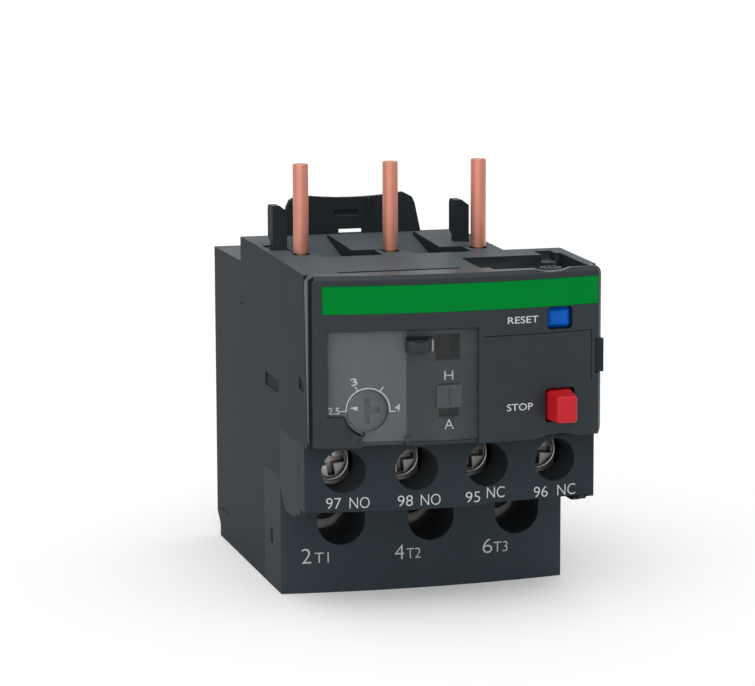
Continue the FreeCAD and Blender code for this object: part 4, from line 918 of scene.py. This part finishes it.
class RELAY_OT_pins(bpy.types.Operator):
    """Makes the three copper line pins with their bevelled tips"""

    bl_idname = "relay.pins"
    bl_label = "Line pins"

    def execute(self, context):
        pins = context.scene.relay_pins
        for number in (1, 2, 3):
            node = f"line_pin_{number}"
            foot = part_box(node)[0].z
            middle, radius = round_part(node, pins.shoulder)
            focus()
            bpy.ops.mesh.primitive_cylinder_add(
                vertices=64, radius=radius, depth=pins.tip - pins.shoulder,
                location=(middle.x, middle.y, (pins.tip + pins.shoulder) / 2),
            )
            pin = named(f"pin_{number}")
            settle(pin)
            pick(pin, "EDGE", lambda edge: all(c.co.z > pins.tip - 1e-6 for c in edge.verts))
            bpy.ops.mesh.bevel(offset=pins.bevel, segments=3, affect="EDGES")
            pick(pin, "FACE", lambda face: face.normal.z < -0.9)
            bpy.ops.mesh.inset(thickness=radius - pins.neck)
            down = (0, 0, foot - pins.shoulder)
            bpy.ops.mesh.extrude_region_move(TRANSFORM_OT_translate={"value": down})
            hand_over(pin, "case", "drawn_copper", (node,))
        return {"FINISHED"}


def round_part(node, height):
    """The middle and the radius of the part of a node that stands above a height."""
    corners = [c.co for c in frame["nodes"][node].data.vertices if c.co.z > height - 1e-6]
    ends = [(min(c[axis] for c in corners), max(c[axis] for c in corners)) for axis in range(3)]
    middle = Vector([(low + high) / 2 for low, high in ends])
    return middle, (ends[0][1] - ends[0][0]) / 2


class RELAY_OT_screws(bpy.types.Operator):
    """Makes the power and auxiliary terminal screws with their driver recesses"""

    bl_idname = "relay.screws"
    bl_label = "Terminal screws"

    def execute(self, context):
        settings = context.scene.relay_screws
        # The power screws take the copy of the steel that is painted darker.
        for kind, count, finish in (("power", 3, "sunk_steel"), ("aux", 4, "plated_steel")):
            node = f"{kind}_screws"
            pitch, head, shank, sink = (
                getattr(settings, f"{kind}_{size}") for size in ("pitch", "head", "shank", "sink")
            )
            low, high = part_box(node)
            radius = (high.z - low.z) / 2
            screws = []
            for step in range(count):
                turn = step * SCREW_TURN
                one = screw(radius, head, low.y + sink, high.y, shank, settings, turn)
                one.location = (low.x + radius + step * pitch, 0, (low.z + high.z) / 2)
                settle(one)
                screws.append(one)
            hand_over(joined(f"{kind}_screw_row", screws), "case", finish, (node,))
        return {"FINISHED"}


class RELAY_OT_buttons(bpy.types.Operator):
    """Makes the reset and stop buttons with softly rounded edges"""

    bl_idname = "relay.buttons"
    bl_label = "Buttons"

    def execute(self, context):
        buttons = context.scene.relay_buttons
        for button, slot in (("reset", "blue_plastic"), ("stop", "red_plastic")):
            cap = node_copy(f"{button}_button", f"{button}_cap")
            if button == "reset":
                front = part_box("reset_button")[0].y
                pick(cap, "VERT", lambda corner: corner.co.y < front + 0.01 * MM)
                bpy.ops.transform.resize(value=(buttons.face_width, 1, buttons.face_height))
                bpy.ops.transform.translate(value=(buttons.face_right, 0, -buttons.face_down))
            modify(
                cap, "BEVEL", width=getattr(buttons, f"{button}_rounding"), segments=3,
                limit_method="ANGLE", angle_limit=math.radians(25), use_clamp_overlap=True,
            )
            hand_over(cap, button, f"{button}_plastic", (f"{button}_button",))
        return {"FINISHED"}


class RELAY_OT_terminal_marks(bpy.types.Operator):
    """Prints the terminal numbers on the two terminal blocks"""

    bl_idname = "relay.terminal_marks"
    bl_label = "Terminal marks"

    def execute(self, context):
        height = context.scene.relay_surfaces.print_height
        rows = {
            "auxiliary_block": (
                ("97", 3.12, 16.38, 2.2, 1.62), ("NO", 6.55, 16.35, 2.97, 1.66),
                ("98", 13.72, 16.38, 2.28, 1.62), ("NO", 17.2, 16.35, 3.03, 1.66),
                ("95", 24.12, 16.38, 2.26, 1.62), ("NC", 27.45, 16.85, 2.8, 1.66),
                ("96", 35.0, 16.38, 2.25, 1.62), ("NC", 38.87, 16.38, 3.0, 1.66),
            ),
            "terminal_block": (
                ("2", 3.12, 4.65, 1.46, 2.32), ("T1", 5.13, 4.7, 2.15, 1.6),
                ("4", 17.6, 4.65, 1.47, 2.32), ("T2", 19.45, 4.7, 2.25, 1.62),
                ("6", 31.8, 4.65, 1.6, 2.3), ("T3", 33.6, 4.7, 2.35, 1.62),
            ),
        }
        for node, places in rows.items():
            words = [word(*place) for place in places]
            print_on(f"{node}_marks", words, frame["nodes"][node], "case", "mark_ink", height)
        return {"FINISHED"}


class RELAY_OT_cover_marks(bpy.types.Operator):
    """Prints the words and draws the painted shadow of the seam on the front cover"""

    bl_idname = "relay.cover_marks"
    bl_label = "Cover marks"

    def execute(self, context):
        looks = context.scene.relay_surfaces
        words = [
            word("RESET", 29.5, 43.5, 4.9, 1.02, weight=0.006),
            word("STOP", 29.4, 30.5, 4.15, 1.06, weight=0.006),
            word("H", 20.16, 35.44, 1.35, 1.36), word("A", 20.2, 28.11, 1.38, 1.45),
            stroke((18.43, 39.8), (18.43, 41.5), looks.line_width),
        ]
        cover = frame["nodes"]["front_cover"]
        print_on("cover_marks", words, cover, "case", "mark_ink", looks.print_height)
        # The seam is a thin dark printed line, a painted shadow; the cover's shape has no gap there.
        seam = [
            stroke((25.7, 41.8), (43.2, 41.8), looks.seam_width),
            stroke((43.2, 41.8), (43.2, 34.0), looks.seam_width),
        ]
        print_on("cover_seam", seam, cover, "case", "seam_shadow", 0.5 * looks.print_height)
        return {"FINISHED"}


class RELAY_OT_current_scale(bpy.types.Operator):
    """Makes the scale plate with a close collar round the dial, its scale and the pointer"""

    bl_idname = "relay.current_scale"
    bl_label = "Current scale"

    def execute(self, context):
        looks = context.scene.relay_surfaces
        width = looks.line_width
        plate = self.make_plate(context.scene.relay_flap)
        drawings = [
            arc(8.71, 31.5, 3.17, width, 0, 180),
            stroke((5.53, 31.52), (5.53, 31.26), width), stroke((11.88, 31.52), (11.88, 31.1), width),
            stroke((4.75, 31.34), (5.6, 31.34), width), stroke((11.8, 31.18), (12.7, 31.18), width),
            stroke((6.81, 34.98), (7.25, 34.23), width), stroke((10.94, 34.87), (10.4, 34.15), width),
            word("2.5", 2.91, 30.9, 1.68, 1.03, 0, 0.012), word("3", 6.21, 35.11, 0.92, 1.09, 12, 0.012),
            word("4", 12.62, 31.2, 0.82, 1.07, -6, 0.002),
        ]
        print_on("current_scale", drawings, plate, "case", "mark_ink", looks.print_height)
        pointer = [flat_triangle(((6.01, 31.84), (7.16, 31.37), (7.21, 32.03)))]
        dial = self.make_dial(context.scene.relay_flap)
        print_on("dial_pointer", pointer, dial, "dial", "mark_ink", looks.print_height)
        return {"FINISHED"}

    def make_dial(self, flap):
        """The dial again, its cross filled and cut anew beside the pointer."""
        low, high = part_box("setting_dial")
        dial = node_copy("setting_dial", "dial_knob")
        middle = (low + high) / 2
        radius = (high.x - low.x) / 2
        filling = Vector((middle.x, low.y + flap.filling / 2, middle.z))
        cut(dial, "UNION", disc(filling, radius * 0.999, flap.filling))
        deep = low.y + flap.cross_depth
        upper = Vector((flap.cross_width, 0, flap.cross_reach))
        start = Vector((middle.x, low.y - MM, middle.z))
        cut(dial, "DIFFERENCE", block(start - upper, (start.x + upper.x, deep, start.z + upper.z)))
        arm = Vector((flap.cross_reach, 0, flap.cross_width * 1.2))
        cut(dial, "DIFFERENCE", block(
            (start.x, start.y, start.z - arm.z), (start.x + arm.x, deep, start.z + arm.z)))
        modify(dial, "BEVEL", width=0.08 * MM, segments=2, limit_method="ANGLE")
        hand_over(dial, "dial", "knob_plastic", ("setting_dial",))
        return dial

    def make_plate(self, flap):
        """The plate again, its hole closed and cut to the dial, with a collar in the same plane."""
        low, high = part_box("setting_dial")
        middle = (low + high) / 2
        radius = (high.x - low.x) / 2
        plate = node_copy("scale_plate", "scale_face")
        pick(
            plate, "FACE",
            lambda face: abs(face.normal.y) < 0.5 and near(face, middle) < radius + 0.5 * MM,
        )
        bpy.ops.mesh.delete(type="FACE")
        pick(plate, "VERT", lambda corner: True)
        bpy.ops.mesh.fill_holes(sides=0)
        focus(plate)
        right_end = max(corner.co.x for corner in plate.data.vertices)
        bow = front_at(plate, right_end - 2 * MM, middle.z) - front_at(plate, right_end - MM, middle.z)
        pick(plate, "VERT", lambda corner: corner.co.x > right_end - 0.01 * MM)
        reach = Vector((flap.plate_reach, -bow * flap.plate_reach / MM, 0))
        bpy.ops.transform.translate(value=reach)
        foot = min(corner.co.z for corner in plate.data.vertices)
        pick(plate, "VERT", lambda corner: corner.co.z < foot + 0.01 * MM)
        bpy.ops.transform.translate(value=(0, 0, flap.low_edge - foot))
        focus(plate)
        left = front_at(plate, middle.x - radius, middle.z)
        right = front_at(plate, middle.x + radius, middle.z)
        front = front_at(plate, middle.x, middle.z)
        turn = math.atan2(right - left, 2 * radius)
        place = Vector((middle.x, front + flap.collar / 2, middle.z))
        collar = disc(place, radius + flap.collar_width, flap.collar, turn)
        cut(plate, "UNION", collar)
        cut(plate, "DIFFERENCE", disc(middle, radius + flap.dial_gap, high.y - low.y + 5 * MM))
        hand_over(plate, "case", "plate_plastic", ("scale_plate",), True)
        return plate


def near(face, middle):
    """How far a face is from an axis that runs from front to back."""
    centre = face.calc_center_median()
    return math.hypot(centre.x - middle.x, centre.z - middle.z)


class RELAY_OT_flap(bpy.types.Operator):
    """Makes the clear flap, its round lobe and its dark sealing eye"""

    bl_idname = "relay.flap"
    bl_label = "Clear flap"

    def execute(self, context):
        flap = context.scene.relay_flap
        sheet = node_copy("window_flap", "flap_sheet")
        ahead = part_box("window_flap")[0].y - MM
        left, right = LEFT_SIDE + flap.eye_left, LEFT_SIDE + flap.eye_right
        front = min(front_at(sheet, x, flap.eye_low - MM) for x in (left, right))
        low_corner = (left, ahead, flap.eye_low - MM)
        cut(sheet, "DIFFERENCE", block(low_corner, (right + MM, front, flap.eye_high + MM)))
        self.add_lobe(flap, sheet)
        self.lower_edge(flap, sheet)
        hand_over(sheet, "flap", "tinted_sheet", ("window_flap",))
        self.make_eye(flap, left, right, front)
        looks = context.scene.relay_surfaces
        start, end = flap.eye_left / MM + 0.1, flap.eye_right / MM + 0.45
        shadow = [stroke((start, 42.05), (end, 42.05), 0.5 * MM)]
        print_on("eye_shadow", shadow, sheet, "flap", "seam_shadow", 0.5 * looks.print_height)
        return {"FINISHED"}

    def add_lobe(self, flap, sheet):
        """Fills the part of the notch that lies in front of the dial."""
        low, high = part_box("setting_dial")
        middle = (low + high) / 2
        near_side, far_side = (front_at(sheet, middle.x + x, middle.z + 2 * MM) for x in (0, 3 * MM))
        thickness = front_at_back(sheet, middle.x, middle.z + 2 * MM) - near_side
        turn = math.atan2(far_side - near_side, 3 * MM)
        place = Vector((middle.x, near_side + thickness / 2, middle.z))
        lobe = disc(place, flap.lobe, thickness, turn)
        corner = Vector((LEFT_SIDE + flap.notch_right, place.y + 3 * MM, flap.notch_top))
        cut(lobe, "INTERSECT", block(place - Vector((5, 3, 5)) * MM, corner))
        cut(sheet, "UNION", lobe)

    def lower_edge(self, flap, sheet):
        """Draws the sheet's lower edge down to the level of its knuckle."""
        low_corner = (LEFT_SIDE + flap.knuckle_right, CAD_BOX[0].y, flap.strip_low)
        strip = copied(sheet)
        cut(strip, "INTERSECT", block(low_corner, (CAD_BOX[1].x, CAD_BOX[1].y, flap.strip_high)))
        strip.location = (0, 0, flap.low_edge - flap.strip_low)
        settle(strip)
        cut(sheet, "UNION", strip)

    def make_eye(self, flap, left, right, front):
        """A block with a round upright hole for a sealing wire."""
        low = Vector((left, front - flap.eye_reach, flap.eye_low))
        high = Vector((right, front + flap.eye_root, flap.eye_high))
        eye = block(low, high)
        pick(
            eye, "EDGE",
            lambda edge: upright(edge) and all(corner.co.y < low.y + 1e-6 for corner in edge.verts),
        )
        bpy.ops.mesh.bevel(offset=flap.eye_corner, segments=8, affect="EDGES")
        middle = (low + high) / 2
        middle.y = low.y + flap.eye_reach * 0.55
        cut(eye, "DIFFERENCE", pillar(middle, flap.eye_hole, 4 * MM))
        dip = Vector((middle.x, low.y, high.z + flap.dip_radius - flap.dip_depth))
        cut(eye, "DIFFERENCE", disc(dip, flap.dip_radius, 2 * MM))
        eye = joined("sealing_eye", [eye])
        modify(eye, "BEVEL", width=0.06 * MM, segments=2, limit_method="ANGLE")
        hand_over(eye, "flap", "cover_plastic", ("window_flap",))


class RELAY_OT_tray(bpy.types.Operator):
    """Opens the tray up to its thin walls and gives it its ribbed boss"""

    bl_idname = "relay.tray"
    bl_label = "Tray"

    def execute(self, context):
        tray = context.scene.relay_tray
        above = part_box("housing")[1].z + MM
        shell = node_copy("housing", "housing_shell", flat=False)
        places = (
            (tray.shelf_left, tray.front, tray.floor, tray.right, tray.shelf_back),
            (tray.back_left, tray.front, tray.floor, tray.right, tray.back),
            (
                tray.notch_left, tray.notch_front, tray.notch_floor,
                tray.notch_right, tray.notch_back,
            ),
        )
        for left, front, low, right, back in places:
            low_corner = (LEFT_SIDE + left, BACK_SIDE - front, low)
            cut(shell, "DIFFERENCE", block(low_corner, (LEFT_SIDE + right, BACK_SIDE - back, above)))
        hand_over(shell, "case", "case_plastic", ("housing",), True)
        face = node_copy("front_cover", "cover_face", flat=False)
        low_corner = (LEFT_SIDE + tray.left, BACK_SIDE - tray.front, tray.ledge)
        high_corner = (LEFT_SIDE + tray.right, BACK_SIDE - tray.middle, above)
        cut(face, "DIFFERENCE", block(low_corner, high_corner))
        self.round_corners(tray, face)
        self.open_gap(tray, face)
        hand_over(face, "case", "cover_plastic", ("front_cover",), True)
        self.make_boss(tray)
        return {"FINISHED"}

    def round_corners(self, tray, face):
        """Rounds the lower corners of the cover as seen from the front."""
        low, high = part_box("front_cover")
        radius = tray.cover_corner
        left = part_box("housing")[0].x
        for side, inward in ((left, 1), (-left, -1)):
            middle = Vector((side + inward * radius, low.y, low.z + radius))
            outer = Vector((side - inward * MM, low.y - 2 * MM, low.z - MM))
            inner = Vector((middle.x, high.y + 2 * MM, middle.z))
            ends = [sorted(pair) for pair in zip(outer, inner)]
            tool = block([end[0] for end in ends], [end[1] for end in ends])
            cut(tool, "DIFFERENCE", disc(middle, radius, 30 * MM))
            cut(face, "DIFFERENCE", tool)

    def open_gap(self, tray, face):
        """A narrow gap between the cover's left side and the case, and a dark strip of painted shadow in
        it.
        """
        low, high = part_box("front_cover")
        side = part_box("housing")[0].x
        rear = BACK_SIDE - tray.gap_place
        front = rear - tray.gap
        cut(face, "DIFFERENCE", block((side - MM, front, low.z), (side + tray.gap_depth, rear, high.z)))
        end = 0.015 * (high.z - low.z)
        low_corner = (side + 0.02 * MM, front, low.z + end)
        strip = block(low_corner, (side + 0.74 * MM, rear, high.z - end))
        hand_over(joined("gap_shadow", [strip]), "case", "seam_shadow")

    def make_boss(self, tray):
        """A round boss with a dished top and three ribs across it."""
        middle = (tray.floor + tray.boss_height) / 2
        place = Vector((LEFT_SIDE + tray.boss_x, BACK_SIDE - tray.boss_depth, middle))
        boss = pillar(place, tray.boss_radius, tray.boss_height - tray.floor)
        pick(boss, "FACE", lambda face: face.normal.z > 0.9)
        bpy.ops.mesh.inset(thickness=tray.boss_rim)
        down = (0, 0, -tray.boss_dish)
        bpy.ops.mesh.extrude_region_move(TRANSFORM_OT_translate={"value": down})
        half = Vector((0.14, 1.4, 0.3)) * MM
        for step in (-1, 0, 1):
            rib = Vector((place.x + step * tray.rib_pitch, place.y, tray.rib_height))
            cut(boss, "UNION", block(rib - half, rib + half))
        hand_over(joined("tray_boss", [boss]), "case", "cover_plastic")


# Rear and front end and lower and upper end of each slot, in millimetres.
SIDE_SLOTS = (
    ((36.0, 45.05), (31.0, 33.15)), ((57.5, 60.3), (33.8, 35.4)), ((56.7, 57.05), (20.6, 22.8)),
    ((38.5, 40.0), (6.7, 9.1)), ((3.2, 9.9), (4.75, 5.05)), ((18.65, 22.05), (41.4, 41.65)),
)


class RELAY_OT_slots(bpy.types.Operator):
    """Lays dark sheets of painted shade on the floors of the shallow slots in the left side"""

    bl_idname = "relay.slots"
    bl_label = "Side slots"

    def execute(self, context):
        near_side, far_side = LEFT_SIDE + 0.2 * MM, LEFT_SIDE + 0.6 * MM
        shade_strips = [
            block(
                (near_side, BACK_SIDE - front * MM, low * MM),
                (far_side, BACK_SIDE - rear * MM, high * MM),
            )
            for (rear, front), (low, high) in SIDE_SLOTS
        ]
        hand_over(joined("slot_floors", shade_strips), "case", "seam_shadow")
        return {"FINISHED"}


class RELAY_OT_springs(bpy.types.Operator):
    """Makes the springs of the buttons, which ride on the buttons"""

    bl_idname = "relay.springs"
    bl_label = "Button springs"

    def execute(self, context):
        for button in ("reset", "stop"):
            coil = node_copy(f"{button}_spring", f"{button}_coil", flat=False)
            hand_over(coil, button, "spring_wire", (f"{button}_spring",))
            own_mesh(coil)
        return {"FINISHED"}


class RELAY_OT_studio(bpy.types.Operator):
    """Makes the pale floor, the soft lamps and the camera"""

    bl_idname = "relay.studio"
    bl_label = "Studio"

    def execute(self, context):
        scene = context.scene
        studio = scene.relay_studio
        scene.view_settings.view_transform = "Standard"
        self.make_floor(studio)
        self.make_surroundings(scene, studio)
        self.make_lamp("front_lamp", studio.front_lamp, (62, 0, -28), 70)
        self.make_lamp("side_lamp", studio.side_lamp, (68, 0, -75), 60)
        self.make_lamp("top_lamp", studio.top_lamp, (12, 0, -20), 60)
        camera = bpy.data.objects.new("camera", bpy.data.cameras.new("camera"))
        scene.collection.objects.link(camera)
        camera.data.lens = studio.lens
        camera.data.clip_start, camera.data.clip_end = 0.01, 20
        turned = [
            Euler(angles).to_matrix()
            for angles in ((0, 0, studio.turn), (studio.tilt, 0, 0), (0, 0, studio.roll))
        ]
        facing = turned[0] @ turned[1] @ turned[2]
        camera.matrix_world = Matrix.LocRotScale(Vector(studio.camera_place), facing, None)
        scene.camera = camera
        return {"FINISHED"}

    def make_floor(self, studio):
        """A floor that sweeps up into a backdrop."""
        focus()
        bpy.ops.mesh.primitive_plane_add(size=8)
        floor = named("studio_floor")
        pick(floor, "EDGE", lambda edge: all(corner.co.y > 3.9 for corner in edge.verts))
        bpy.ops.mesh.extrude_region_move(TRANSFORM_OT_translate={"value": (0, 0, 4)})
        pick(floor, "EDGE", lambda edge: all(c.co.y > 3.9 and c.co.z < 0.1 for c in edge.verts))
        bpy.ops.mesh.bevel(offset=1.5, segments=12, affect="EDGES")
        focus(floor)
        bpy.ops.object.shade_smooth()
        finish = Finish(bpy.data.materials.new("studio_floor"))
        tone = finish.noise(0.4, 2)
        pale = shade((1, 1, 1), studio.floor_tone)
        shader = finish.node(
            "ShaderNodeBsdfPrincipled", {},
            {
                "Base Color": finish.blend(tone, pale, shade(pale[:3], 0.995)),
                "Roughness": 0.9, "Specular IOR Level": 0.0,
            },
        )["BSDF"]
        glow = finish.node(
            "ShaderNodeEmission", {}, {"Color": (1, 1, 1, 1), "Strength": finish.seen() * 0.2}
        )
        both = finish.node("ShaderNodeAddShader", {}, {0: shader, 1: glow["Emission"]})["Shader"]
        finish.node("ShaderNodeOutputMaterial", {}, {"Surface": both})
        floor.data.materials.append(finish.holder)

    def make_surroundings(self, scene, studio):
        """Even light all round, which shows as plain white to the camera and in reflections."""
        scene.world = bpy.data.worlds.new("surroundings")
        finish = Finish(scene.world)
        strength = studio.surroundings + finish.seen() * (1 - studio.surroundings)
        sky = finish.node("ShaderNodeBackground", {}, {"Color": (1, 1, 1, 1), "Strength": strength})
        finish.node("ShaderNodeOutputWorld", {}, {"Surface": sky["Background"]})

    def make_lamp(self, name, strength, angles, spread):
        """A wide distant lamp; its angles turn it from straight down."""
        lamp = bpy.data.objects.new(name, bpy.data.lights.new(name, "SUN"))
        lamp.data.energy = strength
        lamp.data.angle = math.radians(spread)
        lamp.rotation_euler = [math.radians(angle) for angle in angles]
        bpy.context.scene.collection.objects.link(lamp)


class RELAY_PT_panel(bpy.types.Panel):
    bl_label = "Overload relay"
    bl_idname = "RELAY_PT_panel"
    bl_space_type = "VIEW_3D"
    bl_region_type = "UI"
    bl_category = "Relay"

    def draw(self, context):
        column = self.layout.column()
        for group in GROUPS:
            values = getattr(context.scene, group)
            for name in values.bl_rna.properties.keys():
                if name not in ("rna_type", "name"):
                    column.prop(values, name)
        for operator in OPERATORS:
            column.operator(operator.bl_idname)


GROUPS = {
    "relay_colours": RelayColours,
    "relay_surfaces": RelaySurfaces,
    "relay_pins": RelayPins,
    "relay_screws": RelayScrews,
    "relay_buttons": RelayButtons,
    "relay_flap": RelayFlap,
    "relay_tray": RelayTray,
    "relay_studio": RelayStudio,
}
OPERATORS = (
    RELAY_OT_finishes,
    RELAY_OT_pins,
    RELAY_OT_screws,
    RELAY_OT_buttons,
    RELAY_OT_terminal_marks,
    RELAY_OT_cover_marks,
    RELAY_OT_current_scale,
    RELAY_OT_flap,
    RELAY_OT_tray,
    RELAY_OT_slots,
    RELAY_OT_springs,
    RELAY_OT_studio,
)
CLASSES = (*GROUPS.values(), *OPERATORS, RELAY_PT_panel)


def register():
    for cls in CLASSES:
        bpy.utils.register_class(cls)
    for name, group in GROUPS.items():
        setattr(bpy.types.Scene, name, PointerProperty(type=group))


def unregister():
    for name in GROUPS:
        delattr(bpy.types.Scene, name)
    for cls in reversed(CLASSES):
        bpy.utils.unregister_class(cls)


def main():
    register()
    for operator in OPERATORS:
        section, name = operator.bl_idname.split(".")
        getattr(getattr(bpy.ops, section), name)()


if __name__ == "__main__":
    main()
